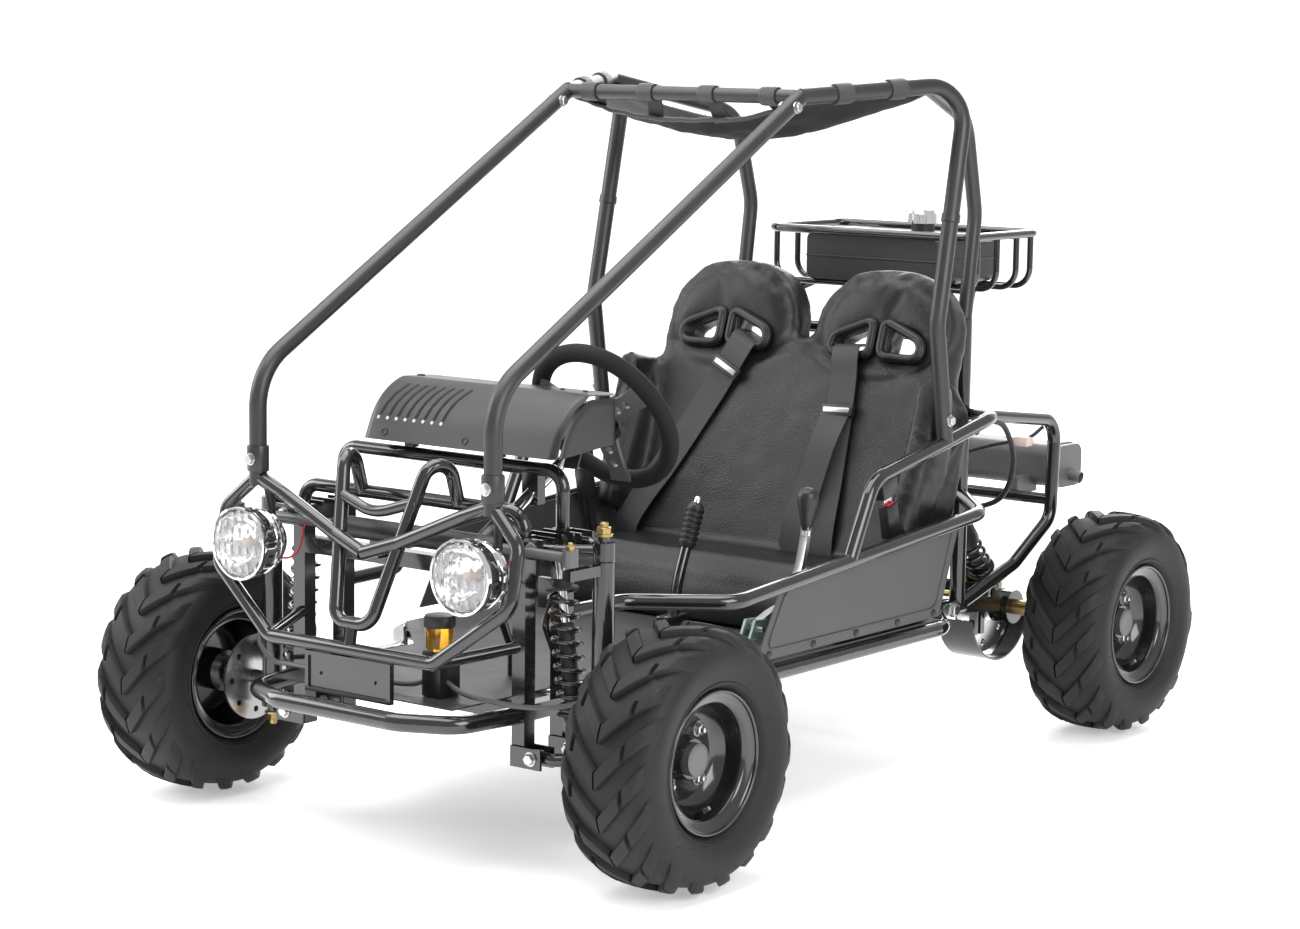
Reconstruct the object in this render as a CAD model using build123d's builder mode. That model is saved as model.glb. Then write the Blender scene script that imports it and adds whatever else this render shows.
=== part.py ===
"""Two-seat off-road buggy: a bent-tube frame with a roll cage, double wishbones in front,
a swing arm with a live axle behind, a double bucket seat and chevron-lugged tyres.

Millimetres. The buggy drives towards -Y, +X is its left side, +Z is up, and the ground is Z = 0.
"""

import os
from math import cos, pi, radians, sin

from build123d import *

# Wheels and tyres
TYRE_R = 178.0
CARCASS_R = 168.0
TYRE_W = 146.0
TYRE_FLATS = 24
BEAD_R = 78.0
RIM_W = 122.0
RIM_FLANGE_R = 95.0
RIM_WALL = 3.0
RIM_STEP_R = 63.0
HUB_R = 30.0
HUB_CAP_R = 22.0
TREAD_LUGS = 18
TREAD_LUG_W = 28.0
TREAD_SWEEP = 46.0
WHEEL_Z = TYRE_R
FRONT_AXLE_Y = -600.0
REAR_AXLE_Y = 625.0
FRONT_TRACK_X = 432.0
REAR_TRACK_X = 378.0

# Tube, bar and sheet sizes
CAGE_R = 12.5
RAIL_R = 11.0
BAR_R = 9.5
ARM_R = 8.0
BASKET_R = 5.0
SQUARE = 22.0
LUG = 4.0
SHEET = 2.0
FIT = 0.3

# Seat
SEAT_HALF = 308.0
SEAT_FRONT = -45.0
SEAT_BACK = 175.0
SEAT_TOP = 752.0
SEAT_LEAN = 17.6
SEAT_PAD = 58.0
CUSHION_TOP = 322.0
CUSHION_NOSE = 34.0
HUMP_X = 146.0
HUMP_W = 256.0
BOLSTER_W = 46.0
BOLSTER_D = 62.0

# Floor
FLOOR_Z = 210.0
PAN_Z = FLOOR_Z + CAGE_R + FIT
PAN_TOP = PAN_Z + SHEET
RAIL_X = SEAT_HALF + 22
FLOOR_X = RAIL_X - 30
MID_RAIL_Z = FLOOR_Z + 123

# Front frame and suspension
SCRUB = 127.0
ARM_SPAN = 78.0
PIVOT_STANDOFF = 25.0
UPRIGHT_SPREAD = 80.0
UPPER_ARM_Z = 435.0
ARM_DROP = 26.0
EAR_W = 52.0
EAR_H = 28.0
KING_X = FRONT_TRACK_X - SCRUB
ARM_X = KING_X - ARM_SPAN
NOSE_X = ARM_X - PIVOT_STANDOFF
UPRIGHT_Y = (FRONT_AXLE_Y - UPRIGHT_SPREAD / 2, FRONT_AXLE_Y + UPRIGHT_SPREAD / 2)
LOWER_ARM_Z = WHEEL_Z - ARM_DROP
UPRIGHT_LOW = LOWER_ARM_Z - EAR_H / 2
UPRIGHT_TOP = UPPER_ARM_Z + EAR_H / 2 + 1
PIN_R = 8.0
EYE_R = 16.0
EYE_H = 24.0
SPINDLE_R = 10.0
AXLE_R = 12.5
FRONT_HOOP_Z = UPRIGHT_TOP + 30
KNEE_HOOP_Z = UPRIGHT_TOP + 76

# Steering
ARM_REACH = 70.0
STEER_ARM_W = 14.0
STEER_ARM_Z = UPPER_ARM_Z - 24
TIE_GAP = 5.0
RACK_Y = FRONT_AXLE_Y - ARM_REACH
RACK_Z = STEER_ARM_Z + 23
RACK_ROD_R = 7.0
RACK_TUBE_R = 15.0
COLUMN_RAKE = 30.0
COLUMN_R = 9.0
COLUMN_LENGTH = 282.0
COLUMN_DIR = Vector(0, cos(radians(COLUMN_RAKE)), sin(radians(COLUMN_RAKE)))
PINION = Vector(NOSE_X - 52, RACK_Y + 18.78, RACK_Z + 8)
STEER_HUB = PINION + COLUMN_DIR * COLUMN_LENGTH
STEER_RING_R = 107.0
STEER_GRIP_R = 13.0
SPOKE_W = 30.0
SPOKE_T = 5.0

# Roll cage
POST_X = 214.0
POST_Y = FRONT_AXLE_Y - 119
POST_FOOT = 486.0
POST_BEND = POST_FOOT + 157
ROOF_FRONT = Vector(POST_X + 4, -45, 1023)
ROOF_REAR = Vector(RAIL_X - 4, SEAT_BACK + 61, 1044)
PILLAR_KINK = Vector(RAIL_X - 1, SEAT_BACK - 12, 684)
PILLAR_FOOT = Vector(RAIL_X, SEAT_BACK + 17, FLOOR_Z + 296)

# Rear frame
LOOP_X = REAR_TRACK_X - 128
REAR_POST = Vector(LOOP_X - 32, SEAT_BACK + 243, 672)
SWING_X = REAR_POST.X - 34
SWING_Y = REAR_POST.Y - 32
SWING_BAR = 24.0
CRADLE_X = 80.0
CRADLE_Z = FLOOR_Z + 33
LOOP_TOP = FLOOR_Z + 282

SIDES = (1, -1)
SIDE_NAME = {1: "left", -1: "right"}


def tube(points, radius, bend=40.0, close=False):
    """Round tube along straight runs joined by tangent arcs."""
    with BuildLine() as route:
        if len(points) == 2:
            Line(*points)
        else:
            FilletPolyline(*points, radius=bend, close=close)
    with BuildSketch(Plane(route.line @ 0, z_dir=route.line % 0)) as ring:
        Circle(radius)
    sweep(sections=ring.sketch, path=route.line)


def bar(start, end, side):
    """Square tube from one point to another, with its faces along the axes."""
    run = Vector(end) - Vector(start)
    across = Vector(0, 0, 1) if abs(run.Z) < 1 else Vector(1, 0, 0)
    with BuildSketch(Plane(start, x_dir=across, z_dir=run)) as section:
        Rectangle(side, side)
    extrude(section.sketch, amount=run.length)


def block(corner, opposite, mode=Mode.ADD):
    """Box between two opposite corners."""
    corner, opposite = Vector(corner), Vector(opposite)
    span = opposite - corner
    with Locations((corner + opposite) * 0.5):
        Box(abs(span.X), abs(span.Y), abs(span.Z), mode=mode)


def rod(start, end, radius, mode=Mode.ADD):
    """Straight round bar between two points."""
    run = Vector(end) - Vector(start)
    with BuildSketch(Plane(start, z_dir=run)) as section:
        Circle(radius)
    extrude(section.sketch, amount=run.length, mode=mode)


def turned(profile, origin, axis):
    """Turn a profile of distance along the axis and radius about that axis."""
    axis = Vector(axis).normalized()
    across = axis.cross(Vector(0, 0, 1) if abs(axis.Z) < 0.9 else Vector(1, 0, 0)).normalized()
    with BuildSketch(Plane(origin, x_dir=across, z_dir=across.cross(axis))) as section:
        with BuildLine():
            Polyline(*[(radius, along) for along, radius in profile], close=True)
        make_face()
    revolve(section.sketch, axis=Axis(origin, axis))


def across_axle(x, axle_y):
    """The plane across an axle at a distance x from the buggy's middle."""
    return Plane((x, axle_y, WHEEL_Z), x_dir=(0, 1, 0), z_dir=(1, 0, 0))


def side_of(side, *points):
    """The points on one side of the buggy: those of the left side, mirrored for the right."""
    return [Vector(side * Vector(p).X, Vector(p).Y, Vector(p).Z) for p in points]


def save(piece, name):
    """Label a finished piece and write its file."""
    piece.part.label = name
    export_step(piece.part, f"parts/{name}.step")


os.makedirs("parts", exist_ok=True)

# Front frame: four square uprights, with lugs for the wishbones, the dampers and the rack
RACK_CLAMPS = (-50, 100)
CLAMP_W = 16.0
NOSE_BAR_Z = UPPER_ARM_Z - 40
DAMPER_TOP = Vector(ARM_X, FRONT_AXLE_Y, UPPER_ARM_Z + 3)
DAMPER_EYE_W = 20.0
with BuildPart() as front_frame:
    for side in SIDES:
        lug_x = side * (NOSE_X + 16)
        for y in UPRIGHT_Y:
            bar(*side_of(side, (NOSE_X, y, UPRIGHT_LOW), (NOSE_X, y, UPRIGHT_TOP)), SQUARE)
            for pivot_z in (UPPER_ARM_Z, LOWER_ARM_Z):
                for face in (-1, 1):
                    with Locations((lug_x, y + face * (SQUARE + LUG) / 2, pivot_z)):
                        Box(EAR_W, LUG, EAR_H)
        for z in (FLOOR_Z, UPPER_ARM_Z):
            bar(*side_of(side, (NOSE_X, UPRIGHT_Y[0], z), (NOSE_X, UPRIGHT_Y[1], z)), SQUARE)
        for face in (-1, 1):
            with Locations((lug_x, FRONT_AXLE_Y + face * (DAMPER_EYE_W + LUG) / 2, DAMPER_TOP.Z)):
                Box(EAR_W, LUG, EAR_H)
    for y, z in ((UPRIGHT_Y[0], FLOOR_Z), (UPRIGHT_Y[1], FLOOR_Z), (UPRIGHT_Y[0], NOSE_BAR_Z)):
        bar((-NOSE_X, y, z), (NOSE_X, y, z), SQUARE)
    for x in RACK_CLAMPS:
        block((x, RACK_Y, NOSE_BAR_Z), (x + CLAMP_W, UPRIGHT_Y[0], RACK_Z))
    rod((-NOSE_X, RACK_Y, RACK_Z), (NOSE_X, RACK_Y, RACK_Z), RACK_TUBE_R + FIT, mode=Mode.SUBTRACT)
save(front_frame, "front_frame")

# Lower frame: floor rails that spread behind the front wheels, with cross tubes
FLARE_Y = (FRONT_AXLE_Y + 160, FRONT_AXLE_Y + 265)
FLOOR_RUN = (
    (NOSE_X, UPRIGHT_Y[1] + SQUARE / 2, FLOOR_Z),
    (NOSE_X, FLARE_Y[0], FLOOR_Z),
    (FLOOR_X, FLARE_Y[1], FLOOR_Z),
    (FLOOR_X, SEAT_BACK + 75, FLOOR_Z),
    (REAR_POST.X, REAR_POST.Y - 68, FLOOR_Z),
    (REAR_POST.X, REAR_POST.Y + CAGE_R, FLOOR_Z),
)
CROSS_TUBES = (
    # y, half length
    (FLARE_Y[1] + 5, FLOOR_X - 4),
    (SEAT_FRONT - 15, FLOOR_X),
    (SEAT_BACK + 25, FLOOR_X),
    (SWING_Y - 61, REAR_POST.X + 20),
)
with BuildPart() as lower_frame:
    for side in SIDES:
        tube(side_of(side, *FLOOR_RUN), CAGE_R, bend=60)
    for y, half in CROSS_TUBES:
        tube([(-half, y, FLOOR_Z), (half, y, FLOOR_Z)], RAIL_R)
save(lower_frame, "lower_frame")

# Floor pan: sheet on the rails, reaching forward under the feet
PAN_NOSE_Y = FRONT_AXLE_Y - 142
PAN_HALF = NOSE_X - SQUARE - 15
with BuildPart() as floor_pan:
    with BuildSketch(Plane.XY.offset(PAN_Z)):
        with BuildLine():
            edge = (
                (PAN_HALF, PAN_NOSE_Y), (PAN_HALF + 10, FLARE_Y[0]), (FLOOR_X, FLARE_Y[1] + 15),
                (FLOOR_X, SEAT_BACK + 60),
            )
            Polyline(*edge, *[(-x, y) for x, y in reversed(edge)], close=True)
        make_face()
    extrude(amount=SHEET)
save(floor_pan, "floor_pan")

# Bumper: one tube round both lamps and down to the mid bar, with the swept lower tube
MID_BAR = Vector(POST_X - 63, FRONT_AXLE_Y - 163, POST_FOOT - 199)
LAMP_LOOP = (
    MID_BAR,
    (POST_X + 52, FRONT_AXLE_Y - 144, POST_FOOT - 114),
    (POST_X + 52, FRONT_AXLE_Y - 128, POST_FOOT - 34),
    (POST_X, POST_Y, POST_FOOT + 12),
    (POST_X - 49, POST_Y - 3, POST_FOOT - 6),
    (58, POST_Y - 10, POST_FOOT - 52),
)
DROOP = Vector(0, POST_Y - 18, POST_FOOT - 71)
BUMPER = Vector(110, FRONT_AXLE_Y - 190.5, FLOOR_Z - 2)
BUMPER_RUN = (
    (NOSE_X, UPRIGHT_Y[0] - SQUARE / 2, BUMPER.Z), (NOSE_X - 16, BUMPER.Y + 35.5, BUMPER.Z), BUMPER,
)
with BuildPart() as bumper:
    for side in SIDES:
        tube([Vector(0, MID_BAR.Y, MID_BAR.Z), *side_of(side, *LAMP_LOOP), DROOP], BAR_R, bend=24)
        tube(side_of(side, (POST_X, POST_Y, POST_FOOT + 8), (NOSE_X, UPRIGHT_Y[0], UPRIGHT_TOP - 10)), ARM_R)
        tube(side_of(side, MID_BAR, (NOSE_X, UPRIGHT_Y[0], MID_BAR.Z + 13)), ARM_R)
    tube([*side_of(1, *BUMPER_RUN), *reversed(side_of(-1, *BUMPER_RUN))], CAGE_R, bend=45)
    add(front_frame.part, mode=Mode.SUBTRACT)
save(bumper, "bumper")

# Dash hoops: two hoops on the uprights, with the steering column's bracket under the knee hoop
BRACKET_HALF = 14.0
with BuildPart() as dash_hoops:
    for y, top in ((UPRIGHT_Y[0], FRONT_HOOP_Z), (UPRIGHT_Y[1], KNEE_HOOP_Z)):
        tube(
            [(-NOSE_X, y, UPRIGHT_TOP), (-NOSE_X, y, top), (NOSE_X, y, top), (NOSE_X, y, UPRIGHT_TOP)],
            BAR_R, bend=26,
        )
    block(
        (STEER_HUB.X - BRACKET_HALF, UPRIGHT_Y[1] - 8, KNEE_HOOP_Z - 48),
        (STEER_HUB.X + BRACKET_HALF, UPRIGHT_Y[1] + 8, KNEE_HOOP_Z),
    )
    rod(STEER_HUB, STEER_HUB - COLUMN_DIR * COLUMN_LENGTH, COLUMN_R + FIT, mode=Mode.SUBTRACT)
    add(bumper.part, mode=Mode.SUBTRACT)
save(dash_hoops, "dash_hoops")

# Bull bar: a V with a round foot, ears bent back to the front hoop and a drooping cross bar
EAR = Vector(87, FRONT_AXLE_Y - 76, POST_FOOT + 104)
FOOT = Vector(32, MID_BAR.Y + 6, MID_BAR.Z + 35)
CROSS = Vector(72, POST_Y + 12, POST_FOOT + 2)
with BuildPart() as bull_bar:
    v_run = ((EAR.X + 1, UPRIGHT_Y[0] - 3, FRONT_HOOP_Z), EAR, FOOT)
    tube([*side_of(1, *v_run), *reversed(side_of(-1, *v_run))], BAR_R, bend=24)
    tube([CROSS, (0, CROSS.Y - 9, CROSS.Z - 22), *side_of(-1, CROSS)], ARM_R, bend=80)
    tube([(0, FOOT.Y, FOOT.Z), (0, MID_BAR.Y, MID_BAR.Z)], ARM_R)
    add(bumper.part, mode=Mode.SUBTRACT)
    add(dash_hoops.part, mode=Mode.SUBTRACT)
save(bull_bar, "bull_bar")

# Rear frame: posts behind the seat, engine-bay loops and the engine cradle
LOOP_END_Y = REAR_POST.Y + 237
LOOP_START = Vector(LOOP_X + 12, REAR_POST.Y - 18, LOOP_TOP + 31)
LOOP_RUN = (
    LOOP_START,
    (LOOP_X, REAR_POST.Y - 5, LOOP_START.Z - 1.5),
    (LOOP_X, LOOP_END_Y, LOOP_TOP),
    (LOOP_X, LOOP_END_Y - 7, FLOOR_Z + 120),
    (LOOP_X - 14, LOOP_END_Y - 95, FLOOR_Z + 52),
    (REAR_POST.X, REAR_POST.Y, FLOOR_Z),
)
TAIL_BAR = Vector(LOOP_X, LOOP_END_Y - 7, FLOOR_Z + 150)
CRADLE_END_Y = REAR_POST.Y + 157
with BuildPart() as rear_frame:
    for side in SIDES:
        tube(side_of(side, (REAR_POST.X, REAR_POST.Y, FLOOR_Z), REAR_POST), CAGE_R)
        tube(side_of(side, *LOOP_RUN), RAIL_R, bend=[6, 40, 40, 40])
        tube(side_of(side, (CRADLE_X, REAR_POST.Y, CRADLE_Z), (CRADLE_X, CRADLE_END_Y, CRADLE_Z)), RAIL_R)
    for half, y, z in (
        (LOOP_X, REAR_POST.Y, LOOP_START.Z - 2),
        (REAR_POST.X, REAR_POST.Y, CRADLE_Z),
        (REAR_POST.X, REAR_POST.Y, REAR_POST.Z - 32),
        (TAIL_BAR.X, TAIL_BAR.Y, TAIL_BAR.Z),
    ):
        tube([(-half, y, z), (half, y, z)], BAR_R)
    add(lower_frame.part, mode=Mode.SUBTRACT)
save(rear_frame, "rear_frame")

# Side rails: the mid rail along the floor's edge and the arm rail above it
ARM_RAIL_Y = (SEAT_FRONT - 13, SEAT_FRONT + 45)
side_rails = {}
for side in SIDES:
    with BuildPart() as side_rails[side]:
        tube(
            side_of(
                side, (NOSE_X, UPRIGHT_Y[1], MID_RAIL_Z - 1), (NOSE_X + 6, FLARE_Y[0], MID_RAIL_Z + 1),
                (RAIL_X, FLARE_Y[1] - 3, MID_RAIL_Z), (RAIL_X, REAR_POST.Y - 118, MID_RAIL_Z + 52),
                (REAR_POST.X, REAR_POST.Y, MID_RAIL_Z + 59),
            ),
            RAIL_R, bend=45,
        )
        tube(
            side_of(
                side, (RAIL_X, ARM_RAIL_Y[0], MID_RAIL_Z + 23), (RAIL_X, ARM_RAIL_Y[1], MID_RAIL_Z + 135),
                (RAIL_X, REAR_POST.Y - 93, LOOP_START.Z + 9), LOOP_START,
            ),
            RAIL_R, bend=[50, 45],
        )
        add(front_frame.part, mode=Mode.SUBTRACT)
        add(rear_frame.part, mode=Mode.SUBTRACT)
    save(side_rails[side], f"side_rail_{SIDE_NAME[side]}")

# Side panels: sheet between the mid rail and the floor
PANEL = (
    # y, z
    (SEAT_FRONT - 225, FLOOR_Z + 26),
    (SEAT_FRONT - 160, MID_RAIL_Z + 15),
    (SEAT_BACK + 87, MID_RAIL_Z + 53),
    (SEAT_BACK + 30, FLOOR_Z + 26),
)
with BuildPart() as side_panels:
    for side in SIDES:
        with BuildSketch(Plane.YZ.offset(side * (RAIL_X - RAIL_R - FIT - SHEET / 2))):
            with BuildLine():
                Polyline(*PANEL, close=True)
            make_face()
        extrude(amount=SHEET / 2, both=True)
save(side_panels, "side_panels")

# Roof cage: front tube, side tubes and the pillars that stand on the arm rails
with BuildPart() as roof_cage:
    for side in SIDES:
        tube(side_of(side, ROOF_FRONT, ROOF_REAR, PILLAR_KINK, PILLAR_FOOT), CAGE_R, bend=[55, 60])
    tube([*side_of(-1, ROOF_FRONT), ROOF_FRONT], RAIL_R)
    for side in SIDES:
        add(side_rails[side].part, mode=Mode.SUBTRACT)
save(roof_cage, "roof_cage")

# Cage posts: up from the lamp loops, then back to the roof
for side in SIDES:
    with BuildPart() as cage_post:
        tube(
            side_of(side, (POST_X, POST_Y, POST_FOOT), (POST_X, POST_Y, POST_BEND), ROOF_FRONT),
            CAGE_R, bend=90,
        )
        add(bumper.part, mode=Mode.SUBTRACT)
        add(roof_cage.part, mode=Mode.SUBTRACT)
    save(cage_post, f"cage_post_{SIDE_NAME[side]}")

# Rear stays: from the roof's side tubes, down to the posts behind the seat
STAY_R = CAGE_R - 1
STAY_TOP = ROOF_FRONT + (ROOF_REAR - ROOF_FRONT) * 0.747
STAY_RUN = (
    REAR_POST,
    (REAR_POST.X, REAR_POST.Y + 23, REAR_POST.Z + 164),
    (REAR_POST.X + 4, REAR_POST.Y - 18, ROOF_REAR.Z - 59),
    STAY_TOP,
)
with BuildPart() as rear_stays:
    for side in SIDES:
        tube(side_of(side, *STAY_RUN), STAY_R, bend=[80, 60])
    add(roof_cage.part, mode=Mode.SUBTRACT)
    add(rear_frame.part, mode=Mode.SUBTRACT)
save(rear_stays, "rear_stays")

# Canopy: cloth that sags between the roof tubes
CANOPY_TUCK = 9.1
CANOPY_T = 4.0
CANOPY = (
    # y, drop of the middle below the roof's front tube
    (ROOF_FRONT.Y + 17, 38),
    (ROOF_FRONT.Y + 145, 68),
    (ROOF_FRONT.Y + 215, 48),
)
with BuildPart() as canopy:
    for y, drop in CANOPY:
        along = (y - ROOF_FRONT.Y) / (ROOF_REAR.Y - ROOF_FRONT.Y)
        rail = ROOF_FRONT + (ROOF_REAR - ROOF_FRONT) * along
        half, edge_z, mid_z = rail.X - CANOPY_TUCK, rail.Z - CANOPY_TUCK, ROOF_FRONT.Z - drop
        with BuildSketch(Plane.XZ.offset(-y)):
            with BuildLine():
                ThreePointArc((-half, edge_z), (0, mid_z), (half, edge_z))
                Line((half, edge_z), (half, edge_z - CANOPY_T))
                ThreePointArc((half, edge_z - CANOPY_T), (0, mid_z - CANOPY_T), (-half, edge_z - CANOPY_T))
                Line((-half, edge_z - CANOPY_T), (-half, edge_z))
            make_face()
    loft(ruled=True)
    add(rear_stays.part, mode=Mode.SUBTRACT)
    add(roof_cage.part, mode=Mode.SUBTRACT)
save(canopy, "canopy")

# Wishbones: upper and lower pair on each side, with the kingpin's eyes at their tips
SHELF_X = (KING_X - 53, KING_X - 33)
SHELF_HALF_Y = 32.0
SHELF_T = 6.0
for side in SIDES:
    with BuildPart() as wishbones:
        for z, radius in ((UPPER_ARM_Z, ARM_R), (LOWER_ARM_Z, ARM_R + 1)):
            for y in UPRIGHT_Y:
                rod(*side_of(side, (ARM_X, y - SQUARE / 2, z), (ARM_X, y + SQUARE / 2, z)), EYE_R - 5)
                tube(
                    side_of(side, (ARM_X, y, z), (ARM_X + 26, y, z), (KING_X, FRONT_AXLE_Y, z)),
                    radius, bend=14,
                )
            eye = [(KING_X, FRONT_AXLE_Y, z - EYE_H / 2), (KING_X, FRONT_AXLE_Y, z + EYE_H / 2)]
            rod(*side_of(side, *eye), EYE_R)
        shelf = [
            (SHELF_X[0], FRONT_AXLE_Y - SHELF_HALF_Y, LOWER_ARM_Z - SHELF_T / 2),
            (SHELF_X[1], FRONT_AXLE_Y + SHELF_HALF_Y, LOWER_ARM_Z + SHELF_T / 2),
        ]
        block(*side_of(side, *shelf))
        for z in (UPPER_ARM_Z, LOWER_ARM_Z):
            pin = [(KING_X, FRONT_AXLE_Y, z - EYE_H), (KING_X, FRONT_AXLE_Y, z + EYE_H)]
            rod(*side_of(side, *pin), PIN_R + FIT, mode=Mode.SUBTRACT)
    save(wishbones, f"wishbones_{SIDE_NAME[side]}")

# Coil-over dampers: eyes, body, rod and spring, the same in front and behind
DAMPER_EYE_R = 10.0
DAMPER_BODY_R = 11.0
DAMPER_ROD_R = 6.0
SPRING_R = 22.0


def damper(low, top, spring):
    """Body, rod and spring between two eyes; the spring runs between two shares of the length."""
    run = top - low
    rod(low, low + run * 0.6, DAMPER_BODY_R)
    rod(low + run * 0.5, top, DAMPER_ROD_R)
    rod(low + run * spring[0], low + run * spring[1], SPRING_R)


DAMPER_LOW = Vector(KING_X - 43, FRONT_AXLE_Y, LOWER_ARM_Z + SHELF_T / 2 + DAMPER_EYE_R + FIT)
with BuildPart() as front_dampers:
    for side in SIDES:
        low, top = side_of(side, DAMPER_LOW, DAMPER_TOP)
        for eye in (low, top):
            half_eye = Vector(0, DAMPER_EYE_W / 2, 0)
            rod(eye - half_eye, eye + half_eye, DAMPER_EYE_R)
        damper(low, top, (0.16, 0.78))
save(front_dampers, "front_dampers")

# Knuckles: kingpin tube, spindle, steering arm and brake caliper over the disc
KNUCKLE_GAP = 2.0
KNUCKLE_R = 15.0
DISC_R = 62.0
DISC_T = 4.0
DISC_X = KING_X + 36
DISC_SLOT = 8.0
CALIPER = Vector(KING_X + 48, FRONT_AXLE_Y + 72, WHEEL_Z + 52)
for side in SIDES:
    with BuildPart() as knuckle:
        pin = [(KING_X, FRONT_AXLE_Y, LOWER_ARM_Z - 22), (KING_X, FRONT_AXLE_Y, UPPER_ARM_Z + 22)]
        rod(*side_of(side, *pin), PIN_R)
        sleeve = [
            (KING_X, FRONT_AXLE_Y, LOWER_ARM_Z + EYE_H / 2 + KNUCKLE_GAP),
            (KING_X, FRONT_AXLE_Y, UPPER_ARM_Z - EYE_H / 2 - KNUCKLE_GAP),
        ]
        rod(*side_of(side, *sleeve), KNUCKLE_R)
        spindle = [(KING_X, FRONT_AXLE_Y, WHEEL_Z), (FRONT_TRACK_X + 26, FRONT_AXLE_Y, WHEEL_Z)]
        rod(*side_of(side, *spindle), SPINDLE_R)
        arm = [(KING_X, FRONT_AXLE_Y, STEER_ARM_Z), (KING_X, RACK_Y - 8, STEER_ARM_Z)]
        bar(*side_of(side, *arm), STEER_ARM_W)
        block(*side_of(side, (KING_X - 4, CALIPER.Y - 32, CALIPER.Z - 36), CALIPER))
        carrier = [
            (KING_X - 4, FRONT_AXLE_Y, CALIPER.Z - 32), (KING_X + 8, CALIPER.Y - 28, CALIPER.Z - 8),
        ]
        block(*side_of(side, *carrier))
        slot = [
            (DISC_X - DISC_SLOT / 2, FRONT_AXLE_Y + 20, WHEEL_Z),
            (DISC_X + DISC_SLOT / 2, CALIPER.Y - 6, CALIPER.Z + 8),
        ]
        block(*side_of(side, *slot), mode=Mode.SUBTRACT)
    save(knuckle, f"knuckle_{SIDE_NAME[side]}")

# Steering rack: the rod with its two tie rods, and the housing that it slides in
HOUSING_X = (-110, NOSE_X - 17)
with BuildPart() as rack_housing:
    rod((HOUSING_X[0], RACK_Y, RACK_Z), (HOUSING_X[1], RACK_Y, RACK_Z), RACK_TUBE_R)
    rod(PINION + COLUMN_DIR * 20, PINION - COLUMN_DIR * 20, RACK_TUBE_R)
    rod(STEER_HUB, PINION - COLUMN_DIR * FIT, COLUMN_R + FIT, mode=Mode.SUBTRACT)
    bore = [(HOUSING_X[0] - 10, RACK_Y, RACK_Z), (HOUSING_X[1] + 10, RACK_Y, RACK_Z)]
    rod(*bore, RACK_ROD_R + FIT, mode=Mode.SUBTRACT)
save(rack_housing, "rack_housing")

TIE_END_R = 11.0
TIE_END_LOW = STEER_ARM_Z + STEER_ARM_W / 2 + TIE_GAP
with BuildPart() as steering_rack:
    rod((-KING_X, RACK_Y, RACK_Z), (KING_X, RACK_Y, RACK_Z), RACK_ROD_R)
    for side in SIDES:
        rod(*side_of(side, (KING_X, RACK_Y, TIE_END_LOW), (KING_X, RACK_Y, TIE_END_LOW + 22)), TIE_END_R)
save(steering_rack, "steering_rack")

# Steering wheel: ring, hub and three drilled spokes, on a raked column
SPOKE_DEPTH = 14.0
SPOKE_HOLE_R = 6.0
STEER_PLANE = Plane(STEER_HUB, x_dir=(1, 0, 0), z_dir=COLUMN_DIR)
with BuildPart() as steering_wheel:
    with BuildSketch(Plane(STEER_HUB, x_dir=(1, 0, 0), z_dir=STEER_PLANE.y_dir)):
        with Locations((STEER_RING_R, 0)):
            Circle(STEER_GRIP_R)
    revolve(axis=Axis(STEER_HUB, COLUMN_DIR))
    with BuildSketch(STEER_PLANE.offset(-SPOKE_DEPTH)):
        with PolarLocations(STEER_RING_R / 2, 3, start_angle=90):
            Rectangle(STEER_RING_R, SPOKE_W)
        Circle(34)
        for reach in (0.45, 0.66):
            with PolarLocations(STEER_RING_R * reach, 3, start_angle=90):
                Circle(SPOKE_HOLE_R, mode=Mode.SUBTRACT)
    extrude(amount=SPOKE_T)
save(steering_wheel, "steering_wheel")

with BuildPart() as steering_column:
    rod(PINION, STEER_HUB - COLUMN_DIR * SPOKE_DEPTH, COLUMN_R)
    rod(STEER_HUB - COLUMN_DIR * 60, STEER_HUB - COLUMN_DIR * SPOKE_DEPTH, 16)
save(steering_column, "steering_column")

# Wheels: dished steel rims and chevron-lugged tyres
RIM_PROFILE = (
    # x from the wheel's middle outwards, radius
    (-RIM_W / 2, BEAD_R - RIM_WALL),
    (-RIM_W / 2, RIM_FLANGE_R),
    (-RIM_W / 2 + 5, RIM_FLANGE_R),
    (-RIM_W / 2 + 8, BEAD_R),
    (RIM_W / 2 - 8, BEAD_R),
    (RIM_W / 2 - 5, RIM_FLANGE_R),
    (RIM_W / 2, RIM_FLANGE_R),
    (RIM_W / 2, BEAD_R - RIM_WALL),
)
DISH_PROFILE = ((2, 0), (2, RIM_STEP_R), (22, BEAD_R), (27, BEAD_R), (7, RIM_STEP_R), (7, 0))
HUB_PROFILE = ((-30, 0), (-30, HUB_R), (24, HUB_R - 4), (24, HUB_CAP_R), (31, HUB_CAP_R), (34, 17), (34, 0))
AXLE_DEPTH = 27.0
TREAD = (
    # x, radius: across the tyre from one side to the other
    (-TYRE_W / 2, TYRE_R - 38),
    (-TYRE_W / 2 + 11, TYRE_R - 18),
    (-30, CARCASS_R),
    (30, CARCASS_R),
    (TYRE_W / 2 - 11, TYRE_R - 18),
    (TYRE_W / 2, TYRE_R - 38),
)
BEAD_X = RIM_W / 2 - 5.6
LUG_TOP = TYRE_R - 0.6
LUG_RUN = (
    # x of the lug's ridge, height above the axle
    (2, LUG_TOP - 22),
    (2, LUG_TOP),
    (TYRE_W / 2 - 25, LUG_TOP - 12.4),
    (TYRE_W / 2 - 3, LUG_TOP - 43.4),
    (TYRE_W / 2 - 3, LUG_TOP - 59.4),
)


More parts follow.
